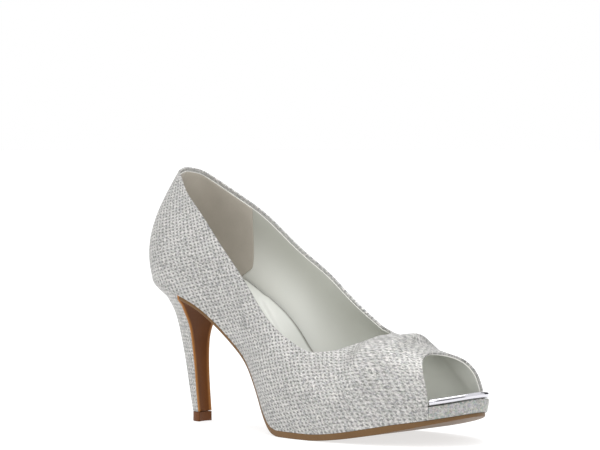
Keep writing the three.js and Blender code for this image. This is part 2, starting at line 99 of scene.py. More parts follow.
# Ribs of the upper: row of the outline, x, y and rise of the head, lean at the foot and at the
# head, plan direction of the head, fullness at the foot and at the head.
RIB_COLUMNS = ("foot", "x", "y", "rise", "low", "top", "aim", "fill_low", "fill_top")
OUTER_RIBS = (
    (0, 0.0833, 0, 1, 20, 34, 0, 0.38, 0.38),
    (1, 0.0943, -0.218, 0.979, 18, 30, 30, 0.38, 0.38),
    (1.95, 0.1206, -0.359, 0.9415, 14, 24, 58, 0.38, 0.38),
    (3, 0.1601, -0.487, 0.8488, 12, 17, 76, 0.38, 0.38),
    (4, 0.2061, -0.564, 0.7561, 10, 12, 86, 0.38, 0.38),
    (4.85, 0.2544, -0.615, 0.6446, 10, 9, 90, 0.38, 0.38),
    (5.7, 0.307, -0.656, 0.511, 11, 8, 90, 0.38, 0.38),
    (6.5, 0.3596, -0.692, 0.3863, 13, 8, 90, 0.38, 0.38),
    (7.32, 0.4123, -0.726, 0.2494, 14, 10, 90, 0.38, 0.35),
    (8.18, 0.4605, -0.749, 0.117, 13, 15, 90, 0.39, 0.32),
    (9.05, 0.5088, -0.769, 0.021, 10, 22, 90, 0.41, 0.3),
    (9.8, 0.557, -0.779, -0.0419, 7, 31, 90, 0.43, 0.285),
    (10.47, 0.6009, -0.759, -0.0927, 5, 41, 90, 0.45, 0.28),
    (11.03, 0.6382, -0.697, -0.0971, 4, 50, 90, 0.46, 0.285),
    (11.47, 0.6667, -0.59, -0.0839, 3, 61, 90, 0.475, 0.305),
    (11.82, 0.6895, -0.436, -0.0596, 3, 66, 90, 0.5, 0.345),
    (12.14, 0.7083, -0.244, -0.0309, 2, 73, 90, 0.51, 0.385),
    (12.44, 0.7215, -0.051, -0.0077, 2, 82, 90, 0.52, 0.43),
    (12.75, 0.7259, 0.128, 0, 2, 90, 90, 0.53, 0.48),
    (13.4, 0.7632, 0.116, 0.0035, 1, 90, 90, 0.53, 0.46),
    (14, 0.7961, 0.116, 0.0085, 0, 90, 91, 0.53, 0.44),
    (14.53, 0.8224, 0.085, -0.034, 0, 90, 93, 0.52, 0.42),
    (15.05, 0.85, 0.074, -0.065, 0, 90, 97, 0.5, 0.41),
    (15.48, 0.8772, 0.051, -0.0883, 0, 90, 100, 0.47, 0.43),
)
INNER_RIBS = (
    (0, 0.0833, 0, 1, 20, 34, 0, 0.38, 0.38),
    (1, 0.089, 0.218, 0.9868, 18, 30, 30, 0.38, 0.38),
    (1.95, 0.1053, 0.372, 0.9525, 14, 24, 58, 0.38, 0.38),
    (3, 0.1491, 0.5, 0.8753, 12, 17, 76, 0.38, 0.38),
    (4, 0.2018, 0.585, 0.7925, 10, 12, 86, 0.38, 0.38),
    (4.85, 0.2544, 0.636, 0.7097, 10, 8, 90, 0.38, 0.38),
    (5.7, 0.307, 0.672, 0.6071, 11, 7, 90, 0.38, 0.38),
    (6.5, 0.3596, 0.697, 0.5033, 13, 7, 90, 0.38, 0.38),
    (7.32, 0.4123, 0.726, 0.4106, 14, 8, 90, 0.38, 0.36),
    (8.18, 0.4605, 0.754, 0.3245, 13, 11, 90, 0.385, 0.34),
    (9.05, 0.5088, 0.769, 0.223, 10, 17, 90, 0.4, 0.32),
    (9.8, 0.557, 0.764, 0.1347, 7, 27, 90, 0.42, 0.3),
    (10.47, 0.5987, 0.733, 0.0728, 5, 41, 90, 0.44, 0.295),
    (11.03, 0.636, 0.667, 0.0287, 4, 58, 90, 0.465, 0.32),
    (11.47, 0.6645, 0.574, 0.0143, 3, 72, 90, 0.49, 0.36),
    (11.82, 0.6886, 0.462, 0.0055, 3, 79, 90, 0.505, 0.39),
    (12.14, 0.7075, 0.346, 0.0033, 2, 84, 90, 0.515, 0.42),
    (12.44, 0.7193, 0.244, 0.0022, 2, 87.3, 90, 0.5, 0.45),
    (12.75, 0.7259, 0.128, 0, 2, 90, 90, 0.46, 0.48),
    (13.4, 0.7632, 0.116, 0.0035, 1, 90, 90, 0.385, 0.422),
    (14, 0.7961, 0.116, 0.0085, 1, 90, 91, 0.32, 0.38),
    (14.53, 0.8224, 0.085, -0.034, 2, 90, 94, 0.335, 0.342),
    (15, 0.85, 0.074, -0.065, 4, 90, 99, 0.42, 0.36),
    (15.48, 0.8772, 0.051, -0.0883, 6, 90, 104, 0.535, 0.42),
)

# Heel: share of the way down, then back, breast and half width between seat and top piece.
HEEL = (
    (0, 0, 0, 0),
    (0.04, 0.077, 0.316, 0.086),
    (0.09, 0.21, 0.737, 0.222),
    (0.18, 0.408, 1.342, 0.485),
    (0.27, 0.498, 1.632, 0.707),
    (0.38, 0.567, 1.816, 0.864),
    (0.5, 0.661, 1.789, 0.934),
    (0.65, 0.768, 1.605, 0.975),
    (0.84, 0.888, 1.316, 0.99),
    (1, 1, 1, 1),
)


class Side(Enum):
    """Side of the shoe, with its sign along y and its end of a layer's width."""

    OUTER = (-1, 0.0)
    INNER = (1, 1.0)

    @property
    def sign(self) -> int:
        """Sign of y on this side."""
        return self.value[0]

    @property
    def edge(self) -> float:
        """Share of the width at this side's edge."""
        return self.value[1]


def smooth(u: float) -> float:
    """Eases a share between 0 and 1."""
    u = min(1.0, max(0.0, u))
    return u * u * (3 - 2 * u)


def mix(a: float, b: float, share: float) -> float:
    """Goes from a to b by a share."""
    return a + (b - a) * share


def steps(start: float, end: float, count: int) -> list[float]:
    """Evenly spaced numbers from start to end, count steps apart."""
    return [start + (end - start) * i / count for i in range(count + 1)]


class Curve:
    """Cubic spline through knots, closed on itself or open, with ends that may stand still."""

    PASSES = 80

    def __init__(
        self,
        at: Sequence[float],
        value: Sequence[float],
        closed: bool = False,
        still: Sequence[int] = (),
    ) -> None:
        """Works out the slope at each knot.

        Args:
            at: places of the knots, rising.
            value: the value at each knot.
            closed: whether the last knot is the first one again.
            still: the open ends, 0 or the last index, where the slope is nought.
        """
        self.at = list(at)
        self.value = list(value)
        last = len(at) - 1
        self.slope = [0.0] * (last + 1)
        for _ in range(self.PASSES):
            for i in range(last + 1):
                self.slope[i] = self._relaxed(i, last, closed, still)

    def _relaxed(self, i: int, last: int, closed: bool, still: Sequence[int]) -> float:
        """Slope at a knot from its neighbours' slopes.

        Args:
            i: the knot.
            last: the last knot.
            closed: whether the last knot is the first one again.
            still: the open ends where the slope is nought.

        Returns:
            The slope.
        """
        at, value, slope = self.at, self.value, self.slope
        end = i in (0, last)
        if end and i in still:
            return 0.0
        if end and not closed:
            a = 0 if i == 0 else last - 1
            near = slope[1] if i == 0 else slope[a]
            return (3 * (value[a + 1] - value[a]) / (at[a + 1] - at[a]) - near) / 2
        a = last - 1 if i == 0 else i - 1
        b = 1 if i == last else i + 1
        ha = at[last] - at[last - 1] if i == 0 else at[i] - at[i - 1]
        hb = at[1] - at[0] if i == last else at[i + 1] - at[i]
        pull = 3 * ((value[i] - value[a]) / ha**2 + (value[b] - value[i]) / hb**2)
        return (pull - slope[a] / ha - slope[b] / hb) / (2 / ha + 2 / hb)

    def __call__(self, t: float) -> float:
        """Value of the curve.

        Args:
            t: the place along it.

        Returns:
            The value there.
        """
        i = 0
        while i < len(self.at) - 2 and t > self.at[i + 1]:
            i += 1
        h = self.at[i + 1] - self.at[i]
        u = (t - self.at[i]) / h
        v = 1 - u
        a = self.value[i] * (1 + 2 * u) * v * v
        b = self.value[i + 1] * (1 + 2 * v) * u * u
        return a + b + h * u * v * (self.slope[i] * v - self.slope[i + 1] * u)


@dataclass(frozen=True)
class Rib:
    """Cubic arc up the upper, from its foot on the sole to its head."""

    foot: Vector
    low: Vector
    high: Vector
    head: Vector

    def at(self, share: float) -> Vector:
        """Point of the arc.

        Args:
            share: share of the way up.

        Returns:
            The point, in millimetres.
        """
        v = 1 - share
        point = self.foot * v**3 + self.low * (3 * v * v * share)
        return point + self.high * (3 * v * share * share) + self.head * share**3


@dataclass
class Last:
    """The last that the shoe is made on, and the heights of the layers on it."""

    length: float = 228.0
    half_ball: float = 39.0
    seat_height: float = 82.0
    quarter_height: float = 64.6
    ridge_height: float = 56.0
    toe_spring: float = 15.4
    spring_from: float = 0.64
    spring_power: float = 1.5
    medial_lift: float = 10.0
    wall: float = 1.8
    gap: float = 0.32
    waist: float = 2.2
    ball: float = 3.5
    fore: float = 3.9
    tip: float = 2.0
    platform: float = 6.8
    cushion: float = 4.6
    insole: float = 2.8
    top_piece_back: float = 25.8
    throat: int = 18
    seat_row: float = 4.0
    leg_row: float = 15.48
    origin: Vector = field(init=False)

    def __post_init__(self) -> None:
        """Fits the curves and finds where the last's own origin lies in the frame."""
        low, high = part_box("heel_top_piece")
        self.origin = Vector((low.x - self.top_piece_back * MM, (low.y + high.y) / 2, 0.0))
        self.toe_row = len(OUTLINE) - 1
        self.turn = 2 * self.toe_row
        rows = [OUTLINE[i if i <= self.toe_row else self.turn - i] for i in range(self.turn + 1)]
        wide = [row[1 if i <= self.toe_row else 2] for i, row in enumerate(rows)]
        places = range(self.turn + 1)
        self.loop_x = Curve(places, [row[0] * self.length for row in rows], closed=True)
        self.loop_y = Curve(places, [y * self.half_ball for y in wide], closed=True)
        self.under_x = [row[0] * self.length for row in UNDER]
        self.under_curve = Curve(self.under_x, [row[1] * self.seat_height for row in UNDER])
        self.last_rib = len(OUTER_RIBS) - 1
        self.curves = {Side.OUTER: self._columns(OUTER_RIBS), Side.INNER: self._columns(INNER_RIBS)}
        self.edge_rows = (
            (0.0, self.waist), (0.386, self.waist), (0.535, self.ball),
            (0.658, self.ball), (0.833, self.fore), (1.0, self.tip),
        )
        self.platform_rows = ((0.36, 0.0), (0.412, 0.24), (0.474, 0.75), (0.526, 1.0), (1.0, 1.0))
        self.lift_rows = ((0.088, 0.0), (0.219, 0.6), (0.351, 1.0), (0.456, 0.5), (0.544, 0.0))
        self.padding_rows = (
            (0.0, self.cushion), (0.482, self.cushion), (0.658, self.insole), (1.0, self.insole),
        )
        self.walk = {side: self._walked(side) for side in Side}

    def _walked(self, side: Side) -> Curve:
        """Way along one side of the outline.

        Args:
            side: side of the shoe.

        Returns:
            The way from the heel to a row, in millimetres.
        """
        rows = steps(0.0, self.toe_row, 4 * self.toe_row)
        places = [self.outline(side, k) for k in rows]
        way = [0.0]
        for a, b in zip(places, places[1:]):
            way.append(way[-1] + math.dist(a, b))
        return Curve(rows, way)

    def _columns(self, rows: Sequence[Sequence[float]]) -> dict[str, Callable[[float], float]]:
        """Curves through the columns of a rib table, which turn at the throat.

        Args:
            rows: the ribs' rows.

        Returns:
            One function of the rib's number for each column.
        """
        collar = self.seat_height + self.quarter_height
        scale = {"x": self.length, "y": self.half_ball, "rise": collar - self.ridge_height}
        curves: dict[str, Callable[[float], float]] = {}
        for c, name in enumerate(RIB_COLUMNS):
            values = [row[c] * scale.get(name, 1.0) for row in rows]
            if name in scale:
                behind = Curve(range(self.throat + 1), values[: self.throat + 1], still=(self.throat,))
                ahead = Curve(range(len(values) - self.throat), values[self.throat :], still=(0,))
                curves[name] = self._turned(behind, ahead)
            else:
                curves[name] = Curve(range(len(values)), values)
        return curves

    def _turned(self, behind: Curve, ahead: Curve) -> Callable[[float], float]:
        """Joins the head's curves behind and ahead of the throat."""
        return lambda t: behind(t) if t <= self.throat else ahead(t - self.throat)

    def place(self, point: Vector) -> Vector:
        """Turns millimetres on the last into metres in the frame."""
        return point * MM + self.origin

    def outline(self, side: Side, k: float, inset: float = 0.0) -> tuple[float, float]:
        """Point of the outline.

        Args:
            side: side of the shoe.
            k: row of the outline, in parts of a row.
            inset: how far in from the edge.

        Returns:
            Its x and y.
        """
        t = k if side is Side.OUTER else self.turn - k
        e = 0.01
        dx = self.loop_x(min(t + e, self.turn)) - self.loop_x(max(t - e, 0))
        dy = self.loop_y(min(t + e, self.turn)) - self.loop_y(max(t - e, 0))
        if t < e or t > self.turn - e:
            dx, dy = 0.0, -1.0
        d = math.hypot(dx, dy)
        return self.loop_x(t) - dy / d * inset, self.loop_y(t) + dx / d * inset

    def ramp(self, rows: Sequence[tuple[float, float]], x: float) -> float:
        """Value between rows of a table along the shoe, with rounded shoulders.

        Args:
            rows: share of the length and value of each row.
            x: place from the heel, in millimetres.

        Returns:
            The value there.
        """
        share = x / self.length
        if share <= rows[0][0]:
            return rows[0][1]
        for (start, a), (end, b) in zip(rows, rows[1:]):
            if share < end:
                return mix(a, b, smooth((share - start) / (end - start)))
        return rows[-1][1]

    def under(self, x: float) -> float:
        """Underside of the sole's outer edge over the floor.

        Args:
            x: place from the heel, in millimetres.

        Returns:
            Its height, in millimetres.
        """
        if x < self.under_x[-1]:
            return max(0.0, self.under_curve(x))
        start = self.spring_from * self.length
        return self.toe_spring * max(0.0, (x - start) / (self.length - start)) ** self.spring_power

    def sole_under(self, x: float, s: float) -> float:
        """Underside of the sole at share s of the width, 0 at the outer edge."""
        return self.under(x) + self.medial_lift * self.ramp(self.lift_rows, x) * smooth(s)

    def sole_top(self, x: float, s: float) -> float:
        """Top of the sole, which the upper stands on."""
        return self.sole_under(x, s) + self.ramp(self.edge_rows, x)

    def platform_low(self, x: float, s: float) -> float:
        """Underside of the platform."""
        return self.sole_top(x, s) + self.gap

    def platform_top(self, x: float, s: float) -> float:
        """Top of the platform."""
        return self.platform_low(x, s) + self.platform * self.ramp(self.platform_rows, x)

    def insole_low(self, x: float, s: float) -> float:
        """Underside of the insole."""
        return self.platform_top(x, s) + self.gap

    def insole_top(self, x: float, s: float) -> float:
        """Top of the insole."""
        return self.insole_low(x, s) + self.ramp(self.padding_rows, x)

    def rib(self, side: Side, t: float) -> Rib:
        """Rib of the upper's outer face.

        Args:
            side: side of the shoe.
            t: number of the rib, in parts, from 0 at the heel to the last one at the peep.

        Returns:
            The rib's arc.
        """
        at = self.curves[side]
        k = at["foot"](t)
        foot_x, foot_y = self.outline(side, k)
        in_x, in_y = self.outline(side, k, 1.0)
        foot = Vector((foot_x, foot_y, self.sole_top(foot_x, side.edge) + self.gap))
        head = Vector((at["x"](t), at["y"](t), self.ridge_height + at["rise"](t)))
        reach = (head - foot).length
        low, top, aim = (math.radians(at[name](t)) for name in ("low", "top", "aim"))
        out = Vector((foot_x - in_x, foot_y - in_y, 0.0)) * math.sin(low)
        lean = out + Vector((0.0, 0.0, math.cos(low)))
        flat = Vector((math.cos(aim), -side.sign * math.sin(aim), 0.0)) * math.sin(top)
        over = flat + Vector((0.0, 0.0, math.cos(top)))
        return Rib(
            foot,
            foot + lean * (reach * at["fill_low"](t)),
            head - over * (reach * at["fill_top"](t)),
            head,
        )

    def rib_at_row(self, side: Side, k: float) -> float:
        """Number of the rib whose foot stands at a row of the outline.

        Args:
            side: side of the shoe.
            k: the row, in parts.

        Returns:
            The rib's number, in parts.
        """
        low, high = 0.0, float(self.last_rib)
        for _ in range(30):
            t = (low + high) / 2
            if self.curves[side]["foot"](t) < k:
                low = t
            else:
                high = t
        return low

    def wall_inset(self, side: Side, k: float, rise: float) -> float:
        """How far in from the outline the upper's inner face comes.

        Args:
            side: side of the shoe.
            k: row of the outline.
            rise: the height over the rib's foot up to which it counts, in millimetres.

        Returns:
            The distance, in millimetres.
        """
        foot_x, foot_y = self.outline(side, k)
        in_x, in_y = self.outline(side, k, 1.0)
        rib = self.rib(side, self.rib_at_row(side, k))
        lean = 0.0
        for share in steps(0.0, 0.5, 50):
            p = rib.at(share)
            if p.z - rib.foot.z < rise:
                lean = max(lean, (p.x - foot_x) * (in_x - foot_x) + (p.y - foot_y) * (in_y - foot_y))
        return lean + self.wall


def linear(code: str) -> tuple[float, float, float, float]:
    """Turns an sRGB hex colour into linear light.

    Args:
        code: the colour, as #RRGGBB.

    Returns:
        Red, green, blue and a full alpha.
    """
    parts = [int(code[i : i + 2], 16) / 255 for i in (1, 3, 5)]
    light = [c / 12.92 if c <= 0.04045 else ((c + 0.055) / 1.055) ** 2.4 for c in parts]
    return (*light, 1.0)


Tree = bpy.types.NodeTree
Socket = bpy.types.NodeSocket


def feed(tree: Tree, node: bpy.types.Node, links: dict) -> None:
    """Feeds a node's inputs.

    Args:
        tree: the material's nodes.
        node: the node.
        links: what feeds each input, by its name or number: an output socket or a plain value.
    """
    for key, value in links.items():
        if isinstance(value, Socket):
            tree.links.new(value, node.inputs[key])
        else:
            node.inputs[key].default_value = value


def add_node(tree: Tree, kind: str, links: dict | None = None, out: int | str = 0, **settings) -> Socket:
    """Adds a node.

    Args:
        tree: the material's nodes.
        kind: the node's type, without its ShaderNode prefix.
        links: what feeds each input.
        out: the output wanted, by its name or number.
        settings: the node's own properties.

    Returns:
        The output wanted.
    """
    node = tree.nodes.new("ShaderNode" + kind)
    for name, value in settings.items():
        setattr(node, name, value)
    feed(tree, node, links or {})
    return node.outputs[out]


@dataclass(frozen=True)
class Finish:
    """What every finish has: a name, and a way to make its material."""

    name: str

    def build(self) -> bpy.types.Material:
        """Makes the material, once for each finish.

        Returns:
            The material.
        """
        made = bpy.data.materials.get(self.name)
        if made is None:
            made = bpy.data.materials.new(self.name)
            made.use_nodes = True
            self.dress(made.node_tree, made.node_tree.nodes["Principled BSDF"])
        return made

    def dress(self, tree: Tree, shader: bpy.types.Node) -> None:
        """Does nothing here; each finish sets the surface shader and adds the nodes that feed it.

        Args:
            tree: the material's nodes, not used here.
            shader: the surface shader, not used here.
        """


@dataclass(frozen=True)
class GlitterCloth(Finish):
    """Open square canvas of metallised yarn with fine glitter set in it.

    It gives rows of small dark holes between pale threads, and bright and dull specks all over, painted
    glints of the glitter.
    The chart gives a thread's place in metres across and up the cloth. Real glitter is about
    0.2 mm, too fine for the picture's pixels, so its specks are drawn coarser.
    """

    across_mm: float = 2.5
    up_mm: float = 2.12
    speck_mm: float = 0.9
    fine_mm: float = 0.5
    light: str = "#CFCECB"
    dull: str = "#787775"
    hole: str = "#4F4E4C"
    weave: float = 0.74
    toe_weave: float = 0.7
    # Strength of the specks, which are painted glints.
    sparkle: float = 1.25
    # Share of random colour in the painted glints.
    tint: float = 0.02
    # How much the threads wander, in cells, and how far apart their bends are.
    wander: float = 0.6
    wander_scale: float = 0.3
    # Shares of the waves across, up and along the slant, and the levels between thread and hole.
    lattice: tuple[float, float, float] = (0.46, 0.44, 0.1)
    thread_level: float = -0.1
    hole_level: float = 0.95
    # Shares of coarse specks, fine specks and wide mottling in the shade.
    speck_shares: tuple[float, float, float] = (0.42, 0.44, 0.28)
    mottle_scale: float = 0.16
    # Places along the frame between which the holes get fainter towards the toe.
    fade_from_mm: float = 30.0
    fade_to_mm: float = 100.0
    fade_drift: float = 0.04
    speck_relief: float = 0.4
    relief_mm: float = 0.4
    roughness: float = 0.45
    metal: float = 0.3

    def dress(self, tree: Tree, shader: bpy.types.Node) -> None:
        """Weave from cosines across the threads, specks from two sizes of cells.

        Args:
            tree: the material's nodes.
            shader: the surface shader.
        """
        chart = add_node(tree, "UVMap", uv_map="chart")
        scale = (1 / (self.across_mm * MM), 1 / (self.up_mm * MM), 1.0)
        cells = add_node(tree, "Mapping", {"Vector": chart, "Scale": scale})
        drift = add_node(
            tree, "TexNoise", {"Vector": cells, "Scale": self.wander_scale, "Detail": 1.0}, "Color"
        )
        middle = add_node(tree, "VectorMath", {0: drift, 1: (0.5, 0.5, 0.5)}, operation="SUBTRACT")
        sway = (self.wander, self.wander, 0.0)
        bent = add_node(tree, "VectorMath", {0: middle, 1: sway, 2: cells}, operation="MULTIPLY_ADD")
        across = add_node(tree, "SeparateXYZ", {0: bent}, "X")
        up = across.node.outputs["Y"]
        slant = add_node(tree, "Math", {0: across, 1: up}, operation="ADD")
        threes = add_node(tree, "CombineXYZ", {0: across, 1: up, 2: slant})
        turns = add_node(tree, "VectorMath", {0: threes, 1: (2 * math.pi,) * 3}, operation="MULTIPLY")
        waves = add_node(tree, "VectorMath", {0: turns}, operation="COSINE")
        lattice = add_node(
            tree, "VectorMath", {0: waves, 1: self.lattice}, "Value", operation="DOT_PRODUCT"
        )
        hole = add_node(
            tree, "MapRange",
            {"Value": lattice, "From Min": self.thread_level, "From Max": self.hole_level},
            interpolation_type="SMOOTHSTEP",
        )
        coarse = add_node(
            tree, "TexVoronoi", {"Vector": chart, "Scale": 1 / (self.speck_mm * MM)}, "Color"
        )
        fine = add_node(tree, "TexVoronoi", {"Vector": chart, "Scale": 1 / (self.fine_mm * MM)}, "Color")
        mottle = add_node(
            tree, "TexNoise", {"Vector": cells, "Scale": self.mottle_scale, "Detail": 3.0}
        )
        big = add_node(tree, "SeparateColor", {0: coarse})
        small = add_node(tree, "SeparateColor", {0: fine})
        specks = add_node(tree, "CombineXYZ", {0: big, 1: small, 2: mottle})
        coarse_share, fine_share, mottle_share = self.speck_shares
        weights = (coarse_share * self.sparkle, fine_share * self.sparkle, mottle_share)
        shade = add_node(tree, "VectorMath", {0: specks, 1: weights}, "Value", operation="DOT_PRODUCT")
        low = 0.5 * sum(weights) - 0.5
        level = add_node(tree, "Math", {0: shade, 1: low}, operation="SUBTRACT", use_clamp=True)
        cloth = add_node(
            tree, "Mix", {0: level, 6: linear(self.dull), 7: linear(self.light)}, 2, data_type="RGBA"
        )
        # Painted glints: the specks' random colour mixed into the cloth.
        glints = add_node(tree, "Mix", {0: self.tint, 6: cloth, 7: coarse}, 2, data_type="RGBA")
        place = add_node(tree, "TexCoord", out="Object")
        forward = add_node(tree, "SeparateXYZ", {0: place})
        spread = add_node(
            tree, "Math", {0: mottle, 1: self.fade_drift, 2: forward}, operation="MULTIPLY_ADD"
        )
        share = add_node(
            tree, "MapRange",
            {"Value": spread, "From Min": self.fade_from_mm * MM, "From Max": self.fade_to_mm * MM,
             "To Min": self.weave, "To Max": self.weave * self.toe_weave},
        )
        depth = add_node(tree, "Math", {0: hole, 1: share}, operation="MULTIPLY")
        color = add_node(tree, "Mix", {0: depth, 6: glints, 7: linear(self.hole)}, 2, data_type="RGBA")
        relief = add_node(tree, "Math", {0: big, 1: self.speck_relief}, operation="MULTIPLY")
        height = add_node(tree, "Math", {0: relief, 1: depth}, operation="SUBTRACT")
        bump = add_node(
            tree, "Bump", {"Height": height, "Strength": 0.5, "Distance": self.relief_mm * MM}
        )
        surface = {"Roughness": self.roughness, "Metallic": self.metal}
        feed(tree, shader, {"Base Color": color, "Normal": bump, **surface})


@dataclass(frozen=True)
class Leather(Finish):
    """Skin or moulded rubber: tone that drifts, a pebbled bump and an even gloss."""

    color: str
    deep: str
    roughness: float
    grain_mm: float = 0.6
    drift_mm: float = 25.0
    relief_mm: float = 0.05
    sheen: float = 0.0
    shine: float = 0.5

    def dress(self, tree: Tree, shader: bpy.types.Node) -> None:
        """Drift and grain from noise on the object's own coordinates.

        Args:
            tree: the material's nodes.
            shader: the surface shader.
        """
        place = add_node(tree, "TexCoord", out="Object")
        drift = add_node(
            tree, "TexNoise", {"Vector": place, "Scale": 1 / (self.drift_mm * MM), "Detail": 4.0}
        )
        grain = add_node(
            tree, "TexNoise", {"Vector": place, "Scale": 1 / (self.grain_mm * MM), "Detail": 3.0}
        )
        wide = add_node(tree, "Math", {0: drift, 1: 0.65}, operation="MULTIPLY")
        fleck = add_node(tree, "Math", {0: grain, 1: 0.35, 2: wide}, operation="MULTIPLY_ADD")
        color = add_node(
            tree, "Mix", {0: fleck, 6: linear(self.deep), 7: linear(self.color)}, 2, data_type="RGBA"
        )
        bump = add_node(
            tree, "Bump", {"Height": grain, "Strength": 0.5, "Distance": self.relief_mm * MM}
        )
        surface = {
            "Roughness": self.roughness, "Sheen Weight": self.sheen, "Specular IOR Level": self.shine,
        }
        feed(tree, shader, {"Base Color": color, "Normal": bump, **surface})


@dataclass(frozen=True)
class EdgedLeather(Leather):
    """Leather of another tone along one edge, by the way across it in the piece's chart; on the footbed that
    tone is painted shade, on the breast a cut edge widened by painted light.
    """

    # Tone along the edge; on the breast a cut edge widened into painted light.
    edge: str = "#B07A45"
    edge_mm: float = 1.1

    def dress(self, tree: Tree, shader: bpy.types.Node) -> None:
        """Leather whose edge takes its own tone, painted shade on the footbed and partly painted light on
        the breast.

        Args:
            tree: the material's nodes.
            shader: the surface shader.
        """
        super().dress(tree, shader)
        inner = shader.inputs["Base Color"].links[0].from_socket
        chart = add_node(tree, "UVMap", uv_map="chart")
        across = add_node(tree, "SeparateXYZ", {0: chart})
        # Share of the edge tone: painted shade on the footbed, partly painted light on the breast.
        edge_share = add_node(
            tree, "MapRange",
            {"Value": across, "From Min": 0.0, "From Max": self.edge_mm * MM, "To Min": 0.85, "To Max": 0.0},
            interpolation_type="SMOOTHSTEP",
        )
        color = add_node(tree, "Mix", {0: edge_share, 6: inner, 7: linear(self.edge)}, 2, data_type="RGBA")
        feed(tree, shader, {"Base Color": color})


@dataclass(frozen=True)
class PaintedLightLeather(Leather):
    """Lining with painted light low down, where it is paler, and painted shade along the topline, where it
    is darker.
    """

    # Tone of the painted light low down on the wall.
    painted_light: str = "#DDDED8"

    def dress(self, tree: Tree, shader: bpy.types.Node) -> None:
        """Leather with painted light that pales it by its share of the way down, from the piece's chart.

        Args:
            tree: the material's nodes.
            shader: the surface shader.
        """
        super().dress(tree, shader)
        leather_tone = shader.inputs["Base Color"].links[0].from_socket
        chart = add_node(tree, "UVMap", uv_map="chart")
        rise = add_node(tree, "SeparateXYZ", {0: chart}, "Y")
        # Painted light: full low on the wall, fading out towards the topline, which keeps the darker tone as
        # painted shade.
        low = add_node(
            tree, "MapRange",
            {"Value": rise, "From Min": 0.25, "From Max": 0.9, "To Min": 1.0, "To Max": 0.0},
            interpolation_type="SMOOTHSTEP",
        )
        color = add_node(tree, "Mix", {0: low, 6: leather_tone, 7: linear(self.painted_light)}, 2, data_type="RGBA")
        feed(tree, shader, {"Base Color": color})


@dataclass(frozen=True)
class MirrorFoil(Finish):
    """Strip under silver foil: a mirror with faint ripples from being pulled round the toe."""

    color: str = "#D6D5DB"
    roughness: float = 0.1
    ripple_mm: float = 10.0
    relief_mm: float = 0.5

    def dress(self, tree: Tree, shader: bpy.types.Node) -> None:
        """Ripples from noise on the object's own coordinates.

        Args:
            tree: the material's nodes.
            shader: the surface shader.
        """
        place = add_node(tree, "TexCoord", out="Object")
        scale = 1 / (self.ripple_mm * MM)
        ripple = add_node(tree, "TexNoise", {"Vector": place, "Scale": scale, "Detail": 1.0})
        bump = add_node(
            tree, "Bump", {"Height": ripple, "Strength": 0.3, "Distance": self.relief_mm * MM}
        )
        surface = {"Metallic": 1.0, "Roughness": self.roughness}
        feed(tree, shader, {"Base Color": linear(self.color), "Normal": bump, **surface})


# Silver glitter canvas: rows of dark holes and a lively sparkle.
CLOTH = GlitterCloth("glitter_canvas")
# The same cloth pulled tight over the platform: greyer, its holes nearly shut, with more colour and sparkle
# in its painted glints.
COVER_CLOTH = GlitterCloth(
    "glitter_canvas_stretched", light="#BABBB7", dull="#7A7B77", weave=0.2, sparkle=1.3, tint=0.06
)
# Its folded edge seen from inside: pale, with hardly a hole.
TURNED_CLOTH = GlitterCloth("glitter_canvas_turned_in", light="#D6D5D2", dull="#999896", weave=0.2)
# Drawn narrower round the heel: closer rows, softer holes.
HEEL_CLOTH = GlitterCloth("glitter_canvas_heel", across_mm=2.0, weave=0.6)
# Dyed kidskin: a soft grey green gloss, with painted light that pales it low down on the wall.
LINING = PaintedLightLeather("kidskin_lining", "#B9BAB2", "#A9AAA1", 0.4)
# Suede: warm grey, quite matt, with a little nap.
GRIP = Leather("suede_heel_grip", "#BCB5AA", "#A69F93", 0.95, grain_mm=0.9, drift_mm=9.0, sheen=0.3)
# Kidskin over foam: pale and smooth, with painted shade as a darker line at its inner margin, where it meets
# the wall.
FOOTBED = EdgedLeather("kidskin_footbed", "#D6D7D2", "#CACBC5", 0.42, edge="#6F6E66", edge_mm=2.4)
# Raw cut leather edge: a thin bright line under the topline.
EDGE = Leather("lining_edge", "#F7F6F2", "#EFEEE8", 0.6)
# Polyester thread: small grey stitches, duller than the cloth.
THREAD = Leather("polyester_thread", "#A3A29F", "#8C8B88", 0.6, grain_mm=0.3)
# Bark tanned sole leather: brown, mottled and nearly matt.
SOLE = Leather("bark_tanned_sole", "#775A38", "#573D22", 0.45, grain_mm=0.8, drift_mm=14.0, shine=0.25)
# The same leather, redder, and darker as painted shade where the breast faces away from the light; its light
# tan cut edge is widened into painted light along both edges.
BREAST = EdgedLeather(
    "bark_tanned_breast", "#71431C", "#552F10", 0.4, grain_mm=0.8, drift_mm=10.0, shine=0.12,
    edge_mm=2.4,
)
# Moulded polyurethane: plain brown, evenly dull.
TOP_PIECE = Leather("moulded_top_piece", "#6E4220", "#552F13", 0.5, grain_mm=0.5, shine=0.2)
# Silver foil: a mirror with faint ripples.
FOIL = MirrorFoil("silver_foil")
# Studio paper: an even pale ground.
PAPER = Leather("pale_paper", "#A8A8A8", "#A2A2A2", 0.95, drift_mm=400.0)
# Black card: the dark bars that the foil mirrors.
CARD = Leather("dark_card", "#2A2830", "#211F26", 0.9)


Points = list[list[Vector]]
Chart = list[list[tuple[float, float]]]


